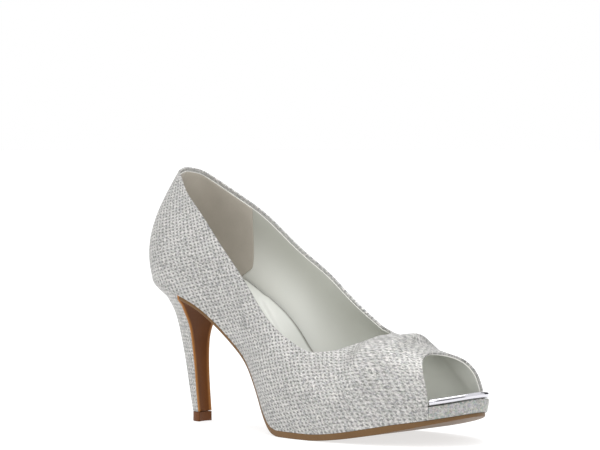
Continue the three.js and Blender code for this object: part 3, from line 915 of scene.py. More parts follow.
def laid_grid(points: Points, chart: Chart | None = None) -> bmesh.types.BMesh:
    """Lays a flat grid on columns of points.

    Args:
        points: columns of points in metres in the frame, as many in each.
        chart: the piece's own chart at the same points, in metres.

    Returns:
        The laid mesh, with shared places merged.
    """
    columns, rows = len(points), len(points[0])
    mesh = bmesh.new()
    bmesh.ops.create_grid(mesh, x_segments=columns - 1, y_segments=rows - 1, size=0.5)
    mesh.verts.ensure_lookup_table()
    if chart is not None:
        layer = mesh.loops.layers.uv.new("chart")
        for face in mesh.faces:
            for loop in face.loops:
                r, c = divmod(loop.vert.index, columns)
                loop[layer].uv = chart[c][r]
    for vert in mesh.verts:
        r, c = divmod(vert.index, columns)
        vert.co = points[c][r]
    bmesh.ops.remove_doubles(mesh, verts=mesh.verts, dist=2e-6)
    return mesh


def close_ends(mesh: bmesh.types.BMesh) -> None:
    """Closes a tube's open ends and points its faces outwards.

    Args:
        mesh: the tube.
    """
    rims = [edge for edge in mesh.edges if edge.is_boundary]
    bmesh.ops.holes_fill(mesh, edges=rims, sides=0)
    ends = [face for face in mesh.faces if len(face.verts) > 4]
    bmesh.ops.poke(mesh, faces=ends)
    bmesh.ops.recalc_face_normals(mesh, faces=mesh.faces)


def made_piece(
    mesh: bmesh.types.BMesh, name: str, finish: Finish, nodes: Sequence[str] = ()
) -> bpy.types.Object:
    """Makes a piece of the shoe from a mesh.

    Args:
        mesh: the mesh, in metres in the frame. It is freed.
        name: the piece's name.
        finish: its finish.
        nodes: the CAD nodes that it stands for.

    Returns:
        The piece, riding on the shoe's one body.
    """
    data = bpy.data.meshes.new(name)
    mesh.to_mesh(data)
    mesh.free()
    data.shade_smooth()
    piece = bpy.data.objects.new(name, data)
    bpy.context.scene.collection.objects.link(piece)
    data.materials.append(finish.build())
    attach(piece, "root")
    if nodes:
        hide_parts(*nodes)
    LOG.info("%s: %d faces", name, len(data.polygons))
    return piece


def closed_piece(
    points: Points, chart: Chart | None, name: str, finish: Finish, node: str
) -> bpy.types.Object:
    """Makes a closed piece of the shoe from rings.

    Args:
        points: the rings, in metres in the frame.
        chart: the piece's own chart at the same points, in metres.
        name: the piece's name.
        finish: its finish.
        node: the CAD node that it stands for.

    Returns:
        The piece.
    """
    mesh = laid_grid(points, chart)
    close_ends(mesh)
    return made_piece(mesh, name, finish, (node,))


def walled(piece: bpy.types.Object, thick: float, round_edge: float) -> None:
    """Gives a sheet its wall behind its face, with rounded rims.

    Args:
        piece: the sheet.
        thick: wall, in millimetres.
        round_edge: radius at the rims, in millimetres.
    """
    wall = piece.modifiers.new("wall", "SOLIDIFY")
    wall.thickness = thick * MM
    wall.offset = -1.0
    rim = piece.modifiers.new("rim", "BEVEL")
    rim.width = round_edge * MM
    rim.segments = 3
    rim.limit_method = "ANGLE"
    rim.angle_limit = math.radians(50)


@dataclass(frozen=True)
class Crease:
    """Soft trough or ridge along a line over the upper, sizes in millimetres."""

    start: tuple[float, float, float]
    end: tuple[float, float, float]
    width: float
    height: float

    def lift(self, point: Vector) -> float:
        """How far the surface moves out.

        Args:
            point: place on the last, in millimetres.

        Returns:
            The move, in millimetres.
        """
        a, b = Vector(self.start), Vector(self.end)
        run = b - a
        share = min(1.0, max(0.0, (point - a).dot(run) / run.length_squared))
        away = (point - (a + run * share)).length / self.width
        if away > 3:
            return 0.0
        taper = math.sin(math.pi * (0.1 + 0.8 * share))
        return self.height * taper * math.exp(-away * away)


@dataclass
class Upper:
    """Cloth upper with its lining, heel grip and topline stitches."""

    last: Last
    columns: int = 276
    rows: int = 44
    cloth_thick: float = 1.12
    lining_thick: float = 0.65
    lining_end: float = 22.86
    grip_thick: float = 0.45
    reach: float = 0.28
    seam_width: float = 0.8
    seam_depth: float = 0.35
    stitch_pitch: float = 2.6
    stitch_length: float = 1.7
    stitch_radius: float = 0.22
    stitch_drop: float = 1.6
    # How far the peep's edges bow, in ribs, and from which rib and share of the way up.
    peep_bow: tuple[float, float] = (0.26, -0.14)
    bow_from: float = 0.28
    bow_rib: float = 19.0
    bow_ribs: float = 4.0
    # Slope of the threads at places from the heel, their lean behind and ahead, and how much
    # longer the outline is than the cloth along it.
    thread_slopes: tuple[tuple[float, float], ...] = (
        (0.0, 0.3), (60.0, 0.21), (150.0, 0.19), (200.0, 0.1), (230.0, 0.02),
    )
    thread_lean: tuple[float, float] = (0.5, 0.25)
    lean_from: float = 180.0
    lean_over: float = 50.0
    thread_draw: float = 0.89
    # Gap between layers, and the part of the heel where the back seam is.
    layer_gap: float = 0.03
    seam_reach: float = 30.0
    lining_rows: int = 30
    # Grip: rib of its front edge, how far that leans forward low down, and its round corner.
    grip_front: float = 4.38
    grip_lean: float = 0.42
    grip_corner: float = 0.75
    grip_columns: int = 96
    grip_rows: int = 30
    # Stitches: ribs from and to which they run, places tried, and share of the lining's drop.
    stitch_ribs: tuple[float, float] = (0.05, 17.4)
    stitch_tries: int = 700
    stitch_share: float = 0.62
    # How far the lining stops short of the topline: number of the rib, millimetres.
    lining_drop: tuple[tuple[float, float], ...] = (
        (0, 1.8), (2, 2.1), (4, 2.2), (8, 2.1), (12, 1.8), (15, 1.3), (17, 0.6), (18, 0.0),
    )
    creases: tuple[Crease, ...] = (
        Crease((150.0, -34.0, 40.0), (172.0, -38.5, 24.0), 7.0, -0.35),
        Crease((160.0, -24.0, 50.0), (184.0, -22.0, 47.0), 6.0, 0.3),
        Crease((112.0, -34.0, 34.0), (124.0, -39.0, 12.0), 8.0, -0.3),
        Crease((184.0, 8.0, 55.8), (179.0, 19.0, 53.5), 5.0, 1.0),
    )

    def __post_init__(self) -> None:
        """Fits the lining's edge."""
        self.drop = Curve([row[0] for row in self.lining_drop], [row[1] for row in self.lining_drop])

    def stations(self, count: int, end: float) -> list[tuple[Side, float]]:
        """Ribs from the peep's inner leg round the heel to its outer leg, close at the seam.

        Args:
            count: steps on both sides together.
            end: number of the rib at the peep.

        Returns:
            Side and number of each rib.
        """
        one_side = sorted({*steps(0.0, end, count // 2), 0.03, 0.06, 0.09, 0.13})
        inner = [(Side.INNER, t) for t in reversed(one_side)]
        return inner + [(Side.OUTER, t) for t in one_side]

    def on_rib(self, side: Side, t: float, share: float) -> Vector:
        """Point of the outer face, with the peep's edges bowed.

        Args:
            side: side of the shoe.
            t: number of the rib.
            share: share of the way up it.

        Returns:
            The point on the last, in millimetres.
        """
        bow = self.peep_bow[0 if side is Side.OUTER else 1]
        rise = max(0.0, share - self.bow_from) / (1 - self.bow_from)
        bent = bow * smooth((t - self.bow_rib) / self.bow_ribs) * math.sin(math.pi * rise)
        return self.last.rib(side, t - bent).at(share)

    def column(self, side: Side, t: float, low: float, high: float, rows: int) -> list[Vector]:
        """Points up one rib.

        Args:
            side: side of the shoe.
            t: number of the rib.
            low: share of the way up where they start.
            high: share of the way up where they end.
            rows: steps between them.

        Returns:
            The points, in millimetres.
        """
        if t > self.bow_rib:
            return [self.on_rib(side, t, share) for share in steps(low, high, rows)]
        rib = self.last.rib(side, t)
        return [rib.at(share) for share in steps(low, high, rows)]

    def rib_length(self, side: Side, t: float) -> float:
        """Length of a rib, in millimetres."""
        points = self.column(side, t, 0.0, 1.0, 16)
        return sum((b - a).length for a, b in zip(points, points[1:]))

    def threads(self, side: Side, t: float, height: float) -> tuple[float, float]:
        """Place along and up the threads, for a cloth that leans back round the quarter.

        Args:
            side: side of the shoe.
            t: number of the rib.
            height: height of the rib's foot and way up the rib, in millimetres.

        Returns:
            Place across and up the threads, in millimetres.
        """
        far = self.last.walk[side](self.last.curves[side]["foot"](t))
        fall = 0.0
        for (a, p), (b, q) in zip(self.thread_slopes, self.thread_slopes[1:]):
            run = min(max(far - a, 0.0), b - a)
            fall += run * (p + (q - p) * run / (2 * (b - a)))
        lean = mix(*self.thread_lean, smooth((far - self.lean_from) / self.lean_over))
        return self.thread_draw * far + lean * height, height - fall

    def chart_column(self, side: Side, t: float, column: list[Vector]) -> list[tuple[float, float]]:
        """Chart of one rib, the inner side mirroring the outer one.

        Args:
            side: side of the shoe.
            t: number of the rib.
            column: its points, in millimetres.

        Returns:
            The chart at those points, in metres.
        """
        height = column[0].z
        heights = [height]
        for a, b in zip(column, column[1:]):
            height += (b - a).length
            heights.append(height)
        row = [self.threads(side, t, h) for h in heights]
        return [(-side.sign * a * MM, b * MM) for a, b in row]

    def lift(self, point: Vector) -> float:
        """How far creases and the back seam move the face out.

        Args:
            point: place on the last, in millimetres.

        Returns:
            The move, in millimetres.
        """
        lift = sum(crease.lift(point) for crease in self.creases)
        if point.x < self.seam_reach:
            lift -= self.seam_depth * math.exp(-((point.y / self.seam_width) ** 2))
        return lift

    def pressed(self, mesh: bmesh.types.BMesh, inward: float) -> None:
        """Moves a sheet inward and adds its creases.

        Args:
            mesh: the sheet.
            inward: how far, in millimetres.
        """
        mesh.normal_update()
        moves = [(vert, vert.normal.copy()) for vert in mesh.verts]
        for vert, normal in moves:
            lift = self.lift((vert.co - self.last.origin) / MM)
            vert.co += normal * ((lift - inward) * MM)

    def cloth(self) -> bpy.types.Object:
        """Outer cloth, standing on the sole.

        Returns:
            The piece.
        """
        points: Points = []
        chart: Chart = []
        for side, t in self.stations(self.columns, self.last.last_rib):
            column = self.column(side, t, 0.0, 1.0, self.rows)
            chart.append(self.chart_column(side, t, column))
            column[0].z -= self.reach
            points.append([self.last.place(p) for p in column])
        mesh = laid_grid(points, chart)
        self.pressed(mesh, 0.0)
        piece = made_piece(mesh, "upper_cloth", CLOTH, ("upper",))
        piece.data.materials.append(TURNED_CLOTH.build())
        walled(piece, self.cloth_thick, 0.4)
        piece.modifiers["wall"].material_offset = 1
        return piece

    def short_of_head(self, side: Side, t: float, drop: float) -> float:
        """Share of a rib that ends a drop in millimetres short of its head."""
        return 1 - drop / self.rib_length(side, t)

    def lining(self) -> bpy.types.Object:
        """Lining behind the cloth, its pale edge below the cloth that is folded in.

        Returns:
            The piece.
        """
        points: Points = []
        chart: Chart = []
        for side, t in self.stations(self.columns, self.lining_end):
            drop = self.drop(t) if t < self.last.throat else 0.0
            column = self.column(side, t, 0.0, self.short_of_head(side, t, drop), self.lining_rows)
            points.append([self.last.place(p) for p in column])
            chart.append([(t, share) for share in steps(0.0, 1.0, self.lining_rows)])
        mesh = laid_grid(points, chart)
        self.pressed(mesh, self.cloth_thick + self.layer_gap)
        piece = made_piece(mesh, "upper_lining", LINING)
        piece.data.materials.append(EDGE.build())
        walled(piece, self.lining_thick, 0.12)
        piece.modifiers["wall"].material_offset_rim = 1
        return piece

    def grip(self) -> bpy.types.Object:
        """Suede grip inside the heel, its front edge upright and its lower corner round.

        Returns:
            The piece.
        """
        points: Points = []
        for u in steps(1.0, -1.0, self.grip_columns):
            side = Side.INNER if u > 0 else Side.OUTER
            column = []
            for share in steps(0.03, 1.0, self.grip_rows):
                forward = self.grip_lean * smooth((0.9 - share) / 0.7)
                t = abs(u) * (self.grip_front + forward - self.grip_corner * (1 - smooth(share / 0.3)))
                top = self.short_of_head(side, t, self.drop(t) + 0.1)
                column.append(self.last.place(self.last.rib(side, t).at(share * top)))
            points.append(column)
        mesh = laid_grid(points)
        self.pressed(mesh, self.cloth_thick + self.lining_thick + self.layer_gap)
        piece = made_piece(mesh, "suede_heel_grip", GRIP)
        walled(piece, self.grip_thick, 0.15)
        return piece

    def stitches(self) -> bpy.types.Object:
        """Row of stitches that holds the folded cloth, inside along the topline.

        Returns:
            The piece.
        """
        mesh = bmesh.new()
        for side in Side:
            way, before = 0.0, None
            for t in steps(*self.stitch_ribs, self.stitch_tries):
                drop = min(self.stitch_drop, self.stitch_share * self.drop(t))
                share = self.short_of_head(side, t, drop)
                here = self.last.rib(side, t).at(share)
                if before is not None:
                    way += (here - before).length
                    if way > self.stitch_pitch:
                        way = 0.0
                        self._stitch(mesh, side, t, share, here, here - before)
                before = here
        return made_piece(mesh, "topline_stitches", THREAD)

    def _stitch(
        self, mesh: bmesh.types.BMesh, side: Side, t: float, share: float, here: Vector, run: Vector
    ) -> None:
        """Adds one stitch on the inner face of the folded cloth.

        Args:
            mesh: the stitches so far.
            side: side of the shoe.
            t: number of the rib.
            share: share of the way up it.
            here: the place on the cloth's outer face, in millimetres.
            run: the way along the topline there.
        """
        up = self.last.rib(side, t).at(share - 0.01) - here
        inward = run.cross(up).normalized()
        if inward.y * side.sign > 0:
            inward.negate()
        place = self.last.place(here + inward * (self.cloth_thick + 0.02))
        made = bmesh.ops.create_uvsphere(mesh, u_segments=6, v_segments=4, radius=1.0)
        turn = run.to_track_quat("Z", "Y").to_matrix().to_4x4()
        size = Vector((self.stitch_radius, self.stitch_radius, self.stitch_length / 2)) * MM
        bmesh.ops.scale(mesh, verts=made["verts"], vec=size)
        bmesh.ops.transform(mesh, verts=made["verts"], matrix=turn)
        bmesh.ops.translate(mesh, verts=made["verts"], vec=place)

    def build(self) -> None:
        """Builds the upper's pieces."""
        self.cloth()
        self.lining()
        self.grip()
        self.stitches()


Height = Callable[[float, float, float], float]


@dataclass
class Bottom:
    """Sole, platform, footbed and toe band."""

    last: Last
    round_steps: int = 4
    wall_steps: int = 6
    sole_round: float = 0.6
    sole_inset: float = 1.4
    band_depth: float = 3.2
    band_height: float = 3.2
    band_proud: float = 0.3
    band_lift: float = 0.4
    toe_swell: float = 1.0
    # Row where the toe's swell starts, and over how many rows it grows.
    swell_row: float = 15.6
    swell_rows: float = 1.6
    # Row where the sole is drawn in, and over how many rows.
    drawn_row: float = 14.0
    drawn_rows: float = 3.0
    # Row where the platform starts behind, and where the even rows end before the toe's tip.
    platform_row: float = 7.4
    even_end: float = 17.4
    toe_ends: tuple[float, ...] = (17.5, 17.6, 17.7, 17.78, 17.85, 17.91, 17.95, 17.98, 17.995)
    # Insets of the platform and the footbed from the upper's inner face, and at the open toe.
    platform_clear: float = 0.2
    leg_inset: float = 0.5
    toe_inset: float = 0.05
    bed_clear: float = 0.1
    # How far the inner margin curls up: place from the heel, millimetres.
    curl: tuple[tuple[float, float], ...] = (
        (0, 0.0), (20, 0.0), (45, 0.2), (60, 1.2), (75, 2.0),
        (92, 3.1), (103, 3.8), (118, 2.2), (135, 0.0), (230, 0.0),
    )
    pad_rise: float = 1.4
    pad_groove: float = 0.8
    pad_centre: tuple[float, float] = (92.0, 17.0)
    pad_half: tuple[float, float] = (27.0, 10.5)

    def __post_init__(self) -> None:
        """Fits the footbed's curl."""
        self.curled = Curve([row[0] for row in self.curl], [row[1] for row in self.curl])

    def rows(self, start: float, count: int) -> list[float]:
        """Rows of the outline from a start to the toe, close together at its tip."""
        return [*steps(start, self.even_end, count), *self.toe_ends]

    def swelled(self, k: float) -> float:
        """Share of the toe's swell at a row."""
        return smooth((k - self.swell_row) / self.swell_rows)

    def slab(
        self,
        rows: Sequence[tuple[float, float, float]],
        low: Height,
        high: Height,
        under_round: float,
        over_round: float,
        across: int = 14,
        swell: float = 0.0,
        by_width: bool = False,
    ) -> tuple[Points, Chart]:
        """Rings of a layer with rounded edges.

        Args:
            rows: row of the outline with the insets of its outer and inner edges.
            low: underside at x, y and share of the width.
            high: top at x, y and share of the width.
            under_round: radius of the lower edges, in millimetres.
            over_round: radius of the upper edges, in millimetres.
            across: steps across the top and the underside.
            swell: how far the upper part of the edge stands proud at the toe.
            by_width: whether the chart tells how far a point is from the inner edge.

        Returns:
            The rings in metres in the frame, and their chart: along the edge and up, or across.
        """
        points: Points = []
        chart: Chart = []
        end = self.last.walk[Side.OUTER](self.last.toe_row)
        for k, outer, inner in rows:
            proud = swell * self.swelled(k)
            ring = self._section(k, (outer, inner), (low, high), (under_round, over_round), across, proud)
            near, away = (self.last.walk[side](k) for side in Side)
            width = math.dist(self.last.outline(Side.OUTER, k), self.last.outline(Side.INNER, k))
            ways = [(1 - s) * width if by_width else mix(near, 2 * end - away, s) for s, _ in ring]
            points.append([self.last.place(p) for _, p in ring])
            chart.append([(way * MM, p.z * MM) for way, (_, p) in zip(ways, ring)])
        return points, chart

    def _section(
        self,
        k: float,
        insets: tuple[float, float],
        heights: tuple[Height, Height],
        rounds: tuple[float, float],
        across: int,
        proud: float,
    ) -> list[tuple[float, Vector]]:
        """One ring of a slab: top from the outer edge to the inner, then back below.

        Args:
            k: row of the outline.
            insets: of the outer and of the inner edge.
            heights: of the underside and of the top.
            rounds: radii of the lower and of the upper edges.
            across: steps across the top and the underside.
            proud: how far the upper part of the edge stands out.

        Returns:
            For each point its share of the width and its place.
        """
        width = math.dist(self.last.outline(Side.OUTER, k), self.last.outline(Side.INNER, k))
        limit = max(width / 4, 1e-4)
        ring: list[tuple[float, Vector]] = []

        def put(s: float, into: float, up: float) -> None:
            """Adds a point.

            Args:
                s: share of the width.
                into: how far in from the edge, in millimetres.
                up: share of the height.
            """
            a = self.last.outline(Side.OUTER, k, insets[0] + into)
            b = self.last.outline(Side.INNER, k, insets[1] + into)
            x, y = mix(a[0], b[0], s), mix(a[1], b[1], s)
            ring.append((s, Vector((x, y, mix(heights[0](x, y, s), heights[1](x, y, s), up)))))

        def edge(s: float, down: bool) -> None:
            """Adds one edge of the slab.

            Args:
                s: share of the width, 0 or 1.
                down: whether it runs from the top down, rather than from below up.
            """
            a, b = self.last.outline(Side.OUTER if s < 0.5 else Side.INNER, k, insets[int(s)])
            thick = max(heights[1](a, b, s) - heights[0](a, b, s), 1e-3)
            low, high = (min(r, limit, 0.48 * thick) for r in rounds)
            profile = []
            for turn in steps(0, math.pi / 2, self.round_steps):
                profile.append((high * (1 - math.sin(turn)), 1 - high * (1 - math.cos(turn)) / thick))
            for share in steps(0, 1, self.wall_steps)[1:-1]:
                profile.append((0.0, mix(1 - high / thick, low / thick, share)))
            for turn in steps(0, math.pi / 2, self.round_steps):
                profile.append((low * (1 - math.cos(turn)), low * (1 - math.sin(turn)) / thick))
            for into, up in profile if down else reversed(profile):
                out = min(proud, limit) * (smooth(up / 0.75) * 1.25 - 0.25)
                put(s, into - out, up)

        edge(0.0, down=False)
        for share in steps(0, 1, across)[1:-1]:
            put(share, min(rounds[1], limit), 1.0)
        edge(1.0, down=True)
        for share in steps(1, 0, across)[1:-1]:
            put(share, min(rounds[0], limit), 0.0)
        ring.append(ring[0])
        return ring

    def outsole(self) -> bpy.types.Object:
        """Leather outsole from the heel's breast to the toe.

        Returns:
            The piece.
        """
        rows = [(k, self._drawn_in(k), self._drawn_in(k)) for k in self.rows(self.last.seat_row + 0.02, 90)]
        points, _ = self.slab(
            rows,
            lambda x, y, s: self.last.sole_under(x, s),
            lambda x, y, s: self.last.sole_top(x, s),
            self.sole_round, 0.2,
        )
        return closed_piece(points, None, "leather_outsole", SOLE, "outsole")

    def _drawn_in(self, k: float) -> float:
        """How far the sole is drawn in under the toe."""
        return self.sole_inset * smooth((k - self.drawn_row) / self.drawn_rows)

    def platform(self) -> bpy.types.Object:
        """Platform wrapped in cloth, swelling a little round the toe.

        Returns:
            The piece.
        """
        rows = []
        leg = self.last.leg_row
        for k in steps(self.platform_row, leg - 0.01, 50):
            walls = (self.last.wall_inset(side, k, self.last.platform) for side in Side)
            rows.append((k, *(wall + self.platform_clear for wall in walls)))
        rows.append((leg - 0.005, self.leg_inset, self.leg_inset))
        rows += [(k, self.toe_inset, self.toe_inset) for k in self.rows(leg + 0.02, 24)]
        points, chart = self.slab(
            rows,
            lambda x, y, s: self.last.sole_top(x, s) + self.toe_inset,
            lambda x, y, s: self.last.platform_top(x, s),
            0.4, 0.9, swell=self.toe_swell,
        )
        return closed_piece(
            points, chart, "platform_cover", COVER_CLOTH, "platform"
        )

    def bed_top(self, x: float, y: float, s: float) -> float:
        """Top of the footbed, curled up at the arch and raised in an oval pad.

        Args:
            x: place from the heel, in millimetres.
            y: place across, in millimetres.
            s: share of the width.

        Returns:
            Its height, in millimetres.
        """
        z = self.last.insole_top(x, s)
        z += self.curled(x) * smooth((s - 0.74) / 0.26)
        dx, dy = (x - self.pad_centre[0]) / self.pad_half[0], (y - self.pad_centre[1]) / self.pad_half[1]
        away = (math.hypot(dx, dy) - 1) * self.pad_half[1]
        pad = self.pad_rise * (1 - smooth((away + 1.2) / 1.6))
        groove = self.pad_groove * math.exp(-(((away - 0.9) / 0.7) ** 2))
        return z + (pad - groove) * (1 - 0.7 * smooth((s - 0.78) / 0.18))

    def footbed(self) -> bpy.types.Object:
        """Padded footbed over platform, waist and seat.

        Returns:
            The piece.
        """
        rise = self.last.platform + self.last.cushion
        rows = []
        inset = self.band_depth + self.last.gap
        for k in [0.01, 0.05, 0.15, 0.3, 0.5] + steps(0.75, self.last.leg_row + 0.04, 150):
            front = smooth((k - self.last.leg_row + 0.6) / 0.6)
            walls = (self.last.wall_inset(side, k, rise) + self.bed_clear for side in Side)
            rows.append((k, *(mix(wall, inset, front) for wall in walls)))
        rows += [(k, inset, inset) for k in self.rows(self.last.leg_row + 0.05, 20)]
        points, chart = self.slab(
            rows, lambda x, y, s: self.last.insole_low(x, s), self.bed_top, 0.4, 1.0,
            across=56, by_width=True,
        )
        piece = closed_piece(points, chart, "padded_footbed", FOOTBED, "insole")
        return piece

    def band(self) -> bpy.types.Object:
        """Rounded foil band round the front of the footbed.

        Returns:
            The piece.
        """
        side_rows = self.rows(self.last.leg_row + 0.03, 60)
        stations = [(Side.OUTER, k) for k in side_rows]
        stations += [(Side.INNER, k) for k in reversed(side_rows)]
        points = []
        for side, k in stations:
            x0, _ = self.last.outline(side, k)
            z0 = self.last.platform_top(x0, side.edge) + self.band_lift
            proud = self.band_proud + (self.toe_swell - self.band_proud) * self.swelled(k)
            ring = []
            for turn in steps(0, 2 * math.pi, 24):
                out = self._squared(math.cos(turn))
                x, y = self.last.outline(side, k, self.band_depth / 2 * (1 - out) - proud)
                z = z0 + self.band_height / 2 * (1 + self._squared(math.sin(turn)))
                ring.append(self.last.place(Vector((x, y, z))))
            points.append(ring)
        return closed_piece(points, None, "foil_toe_band", FOIL, "toe_band")

    def _squared(self, value: float) -> float:
        """Pushes a round section towards a square one."""
        return math.copysign(abs(value) ** 0.75, value)

    def build(self) -> None:
        """Builds the bottom's pieces."""
        self.outsole()
        self.platform()
        self.footbed()
        self.band()


@dataclass
class Heel:
    """Covered heel with its leather breast and top piece."""

    last: Last
    tip_height: float = 5.4
    tip_length: float = 8.4
    tip_half: float = 5.2
    skin: float = 0.9
    dish: float = 0.9
    seat_row_run: float = 14.0
    seat_ease: float = 0.12
    tip_round: float = 0.15
    levels: int = 60
    round_steps: int = 64
    breast_steps: int = 12

    def __post_init__(self) -> None:
        """Fits the heel's curves between the seat and the top piece."""
        seat = OUTLINE[int(self.last.seat_row)]
        self.seat_outer = seat[1] * self.last.half_ball
        self.seat_inner = seat[2] * self.last.half_ball
        down = [row[0] for row in HEEL]
        back_from = OUTLINE[0][0] * self.last.length
        breast_from = seat[0] * self.last.length
        breast_to = self.last.top_piece_back + self.tip_length
        self.back = Curve(down, [mix(back_from, self.last.top_piece_back, row[1]) for row in HEEL])
        self.breast = Curve(down, [mix(breast_from, breast_to, row[2]) for row in HEEL])
        self.half = Curve(down, [mix(self.seat_inner, self.tip_half, row[3]) for row in HEEL])

    def ring(self, t: float, behind: float) -> list[tuple[float, float]]:
        """Plan ring of the heel.

        Args:
            t: share of the way down.
            behind: how far the breast is moved back, in millimetres.

        Returns:
            Points from the breast's outer corner round the back and across the breast.
        """
        ease = smooth(t / self.seat_ease)
        front = self.breast(t) - behind
        corner = self.last.seat_row - behind / self.seat_row_run
        points = []
        for share in steps(0, 1, self.round_steps):
            angle = math.pi * (share - 0.5)
            k = corner * (1 - math.sin(0.5 * math.pi * (1 - abs(2 * share - 1))))
            x, y = self.last.outline(Side.OUTER if share < 0.5 else Side.INNER, k)
            round_x = front - (front - self.back(t)) * math.cos(angle)
            points.append((mix(x, round_x, ease), mix(y, self.half(t) * math.sin(angle), ease)))
        right, left = points[0], points[-1]
        for u in steps(0, 1, self.breast_steps)[1:-1]:
            hollow = self.dish * ease * math.sin(math.pi * u)
            points.append((mix(left[0], right[0], u) - hollow, mix(left[1], right[1], u)))
        return points

    def at(self, point: tuple[float, float], t: float) -> Vector:
        """Point of the heel.

        Args:
            point: its x and y, in millimetres.
            t: share of the way down.

        Returns:
            The point, in millimetres.
        """
        x, y = point
        s = min(1.0, max(0.0, (y - self.seat_outer) / (self.seat_inner - self.seat_outer)))
        z = mix(self.last.sole_top(x, s), self.tip_height + self.last.gap, t)
        return Vector((x, y, z))

    def tube(self, rings: list[list[Vector]], centred: bool) -> tuple[Points, Chart]:
        """Closed rings in metres with a chart round and down them.

        Args:
            rings: the rings, in millimetres.
            centred: whether the chart starts in the middle of the back, or at the breast's edges.

        Returns:
            The rings in metres in the frame, and their chart.
        """
        points: Points = []
        chart: Chart = []
        for ring in rings:
            closed = ring + [ring[0].copy()]
            around = [0.0]
            for a, b in zip(closed, closed[1:]):
                around.append(around[-1] + (b - a).length)
            if centred:
                places = [a - around[self.round_steps // 2] for a in around]
            else:
                width = around[self.breast_steps]
                places = [max(min(a, width - a), 0.0) for a in around]
            points.append([self.last.place(p) for p in closed])
            chart.append([(a * MM, p.z * MM) for a, p in zip(places, closed)])
        return points, chart

    def cover(self) -> bpy.types.Object:
        """Cloth cover of the heel.

        Returns:
            The piece.
        """
        behind = self.skin + 0.02
        rings = [[self.at(p, t) for p in self.ring(t, behind)] for t in steps(0, 1, self.levels)]
        points, chart = self.tube(rings, centred=True)
        return closed_piece(points, chart, "heel_cover", HEEL_CLOTH, "heel")

    def breast_cover(self) -> bpy.types.Object:
        """Leather down the breast of the heel.

        Returns:
            The piece.
        """
        rings = []
        for t in steps(0, 1, self.levels):
            front, rear = (self._face(self.ring(t, behind)) for behind in (0.0, self.skin))
            rings.append([self.at(p, t) for p in front + rear[::-1]])
        points, chart = self.tube(rings, centred=False)
        return closed_piece(
            points, chart, "heel_breast", BREAST, "heel_breast_cover"
        )

    def _face(self, ring: list[tuple[float, float]]) -> list[tuple[float, float]]:
        """The breast's points of a ring.

        Args:
            ring: the ring's points.

        Returns:
            Those from the outer to the inner corner.
        """
        n = self.round_steps
        return [ring[0], *ring[n + 1 :][::-1], ring[n]]

    def top_piece(self) -> bpy.types.Object:
        """Top piece on the floor, with rounded edges.

        Returns:
            The piece.
        """
        ring = self.ring(1, 0)
        mesh = bmesh.new()
        made = bmesh.ops.create_circle(mesh, cap_ends=True, segments=len(ring), radius=1.0)
        mesh.verts.ensure_lookup_table()
        for vert, (x, y) in zip(made["verts"], ring):
            vert.co = self.last.place(Vector((x, y, 0.0)))
        grown = bmesh.ops.extrude_face_region(mesh, geom=mesh.faces[:])
        top = [item for item in grown["geom"] if isinstance(item, bmesh.types.BMVert)]
        bmesh.ops.translate(mesh, verts=top, vec=(0, 0, self.tip_height * MM))
        bmesh.ops.recalc_face_normals(mesh, faces=mesh.faces)
        flat = [edge for edge in mesh.edges if abs(edge.verts[0].co.z - edge.verts[1].co.z) < 1e-6]
        bmesh.ops.bevel(
            mesh, geom=flat, offset=self.tip_round * MM, segments=2, profile=0.5, affect="EDGES", material=-1
        )
        return made_piece(mesh, "heel_top_piece_worn", TOP_PIECE, ("heel_top_piece",))

    def build(self) -> None:
        """Builds the heel's pieces."""
        self.cover()
        self.breast_cover()
        self.top_piece()


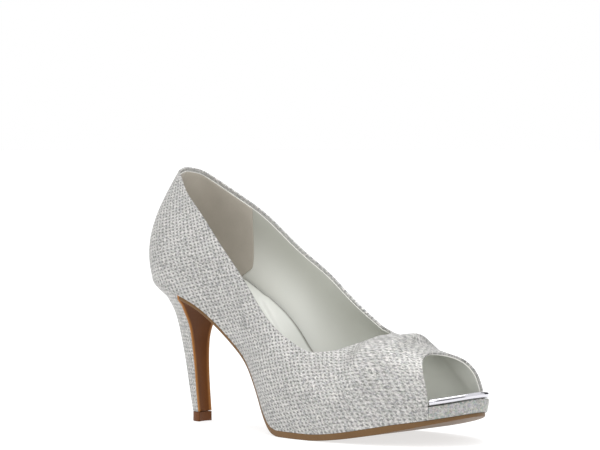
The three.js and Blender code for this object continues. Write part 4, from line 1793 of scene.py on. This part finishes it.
@dataclass
class Studio:
    """Pale floor, soft light and the photograph's camera."""

    last: Last
    azimuth: float = 41.0
    elevation: float = 3.5
    distance: float = 1500.0
    target: tuple[float, float, float] = (110.0, 0.0, 70.0)
    focal_px: float = 2687.6
    width_px: float = 600.0
    target_px: tuple[float, float] = (304.67, 305.06)
    centre_px: tuple[float, float] = (300.0, 225.0)
    floor_half: float = 30.0
    floor_glow: float = 0.7
    card_distance: float = 2.2
    # Name, direction in degrees, half width, lower and upper edge of each card.
    cards: tuple[tuple[str, float, float, float, float], ...] = (
        ("front_card", -45.0, 2.0, 0.1, 0.9),
        ("side_card", 88.0, 0.7, 0.0, 1.6),
    )
    # Name, place, size in metres and power in watts of each lamp.
    lamps: tuple[tuple[str, tuple[float, float, float], float, float], ...] = (
        ("key", (-0.75, -1.15, 0.8), 0.5, 3.5),
        ("top", (-0.1, 0.1, 1.8), 1.2, 17.0),
        ("front", (0.7, -1.0, 0.5), 0.6, 2.2),
    )
    lamp_aim: tuple[float, float, float] = (0.0, 0.0, 0.06)

    def camera(self) -> None:
        """Camera at the photograph's angle, turned rather than shifted to its framing."""
        a, e = math.radians(self.azimuth), math.radians(self.elevation)
        back = Vector((math.sin(a) * math.cos(e), -math.cos(a) * math.cos(e), math.sin(e)))
        right = Vector((math.cos(a), math.sin(a), 0.0))
        up = back.cross(right)
        target = self.last.place(Vector(self.target))
        scale = self.distance * MM / self.focal_px
        aim = target - right * ((self.target_px[0] - self.centre_px[0]) * scale)
        aim += up * ((self.target_px[1] - self.centre_px[1]) * scale)
        data = bpy.data.cameras.new("camera")
        data.sensor_width = 36.0
        data.lens = self.focal_px / self.width_px * data.sensor_width
        camera = bpy.data.objects.new("camera", data)
        camera.location = target + back * (self.distance * MM)
        camera.rotation_euler = (aim - camera.location).to_track_quat("-Z", "Y").to_euler()
        bpy.context.scene.collection.objects.link(camera)
        bpy.context.scene.camera = camera

    def lamp(self, name: str, place: tuple[float, float, float], size: float, power: float) -> None:
        """Soft area light that looks at the shoe.

        Args:
            name: the lamp's name.
            place: its place, in metres.
            size: its side, in metres.
            power: its power, in watts.
        """
        data = bpy.data.lights.new(name, "AREA")
        data.size = size
        data.energy = power
        lamp = bpy.data.objects.new(name, data)
        lamp.location = place
        turn = (Vector(self.lamp_aim) - lamp.location).to_track_quat("-Z", "Y")
        lamp.rotation_euler = turn.to_euler()
        bpy.context.scene.collection.objects.link(lamp)

    def sheet(self, name: str, finish: Finish, corners: Sequence[Vector]) -> bpy.types.Object:
        """Flat stage piece.

        Args:
            name: the piece's name.
            finish: its finish.
            corners: its four corners, in metres.

        Returns:
            The piece.
        """
        mesh = bmesh.new()
        bmesh.ops.create_grid(mesh, x_segments=1, y_segments=1, size=1.0)
        for vert, corner in zip(mesh.verts, corners):
            vert.co = corner
        data = bpy.data.meshes.new(name)
        mesh.to_mesh(data)
        mesh.free()
        piece = bpy.data.objects.new(name, data)
        bpy.context.scene.collection.objects.link(piece)
        data.materials.append(finish.build())
        return piece

    def floor(self) -> None:
        """Pale floor under the shoe, lit a little from below as on a light table."""
        ends = (-self.floor_half, self.floor_half)
        floor = self.sheet("floor", PAPER, [Vector((x, y, 0.0)) for y in ends for x in ends])
        tree = floor.data.materials[0].node_tree
        glow = {"Emission Color": WHITE, "Emission Strength": self.floor_glow}
        feed(tree, tree.nodes["Principled BSDF"], glow)

    def card(self, name: str, azimuth: float, half: float, low: float, high: float) -> None:
        """Dark card that only the foil mirrors.

        Args:
            name: the card's name.
            azimuth: its direction from the shoe, in degrees from +X.
            half: half its width, in metres.
            low: height of its lower edge, in metres.
            high: height of its upper edge, in metres.
        """
        a = math.radians(azimuth)
        middle = Vector((math.cos(a), math.sin(a), 0.0)) * self.card_distance
        along = Vector((-math.sin(a), math.cos(a), 0.0)) * half
        corners = [
            middle + along * side + Vector((0.0, 0.0, z)) for z in (low, high) for side in (-1, 1)
        ]
        card = self.sheet(name, CARD, corners)
        card.visible_camera = card.visible_diffuse = card.visible_shadow = False

    def build(self) -> None:
        """Sets up floor, lights, sky and camera."""
        self.camera()
        self.floor()
        for card in self.cards:
            self.card(*card)
        for lamp in self.lamps:
            self.lamp(*lamp)
        world = bpy.data.worlds.new("sky")
        world.use_nodes = True
        feed(world.node_tree, world.node_tree.nodes["Background"], {"Color": WHITE, "Strength": 1.0})
        bpy.context.scene.world = world
        bpy.context.scene.view_settings.view_transform = "Standard"


def main() -> None:
    """Builds the studio and the shoe."""
    logging.basicConfig(level=logging.INFO, format="%(name)s %(message)s")
    last = Last()
    Studio(last).build()
    Upper(last).build()
    Bottom(last).build()
    Heel(last).build()


if __name__ == "__main__":
    main()
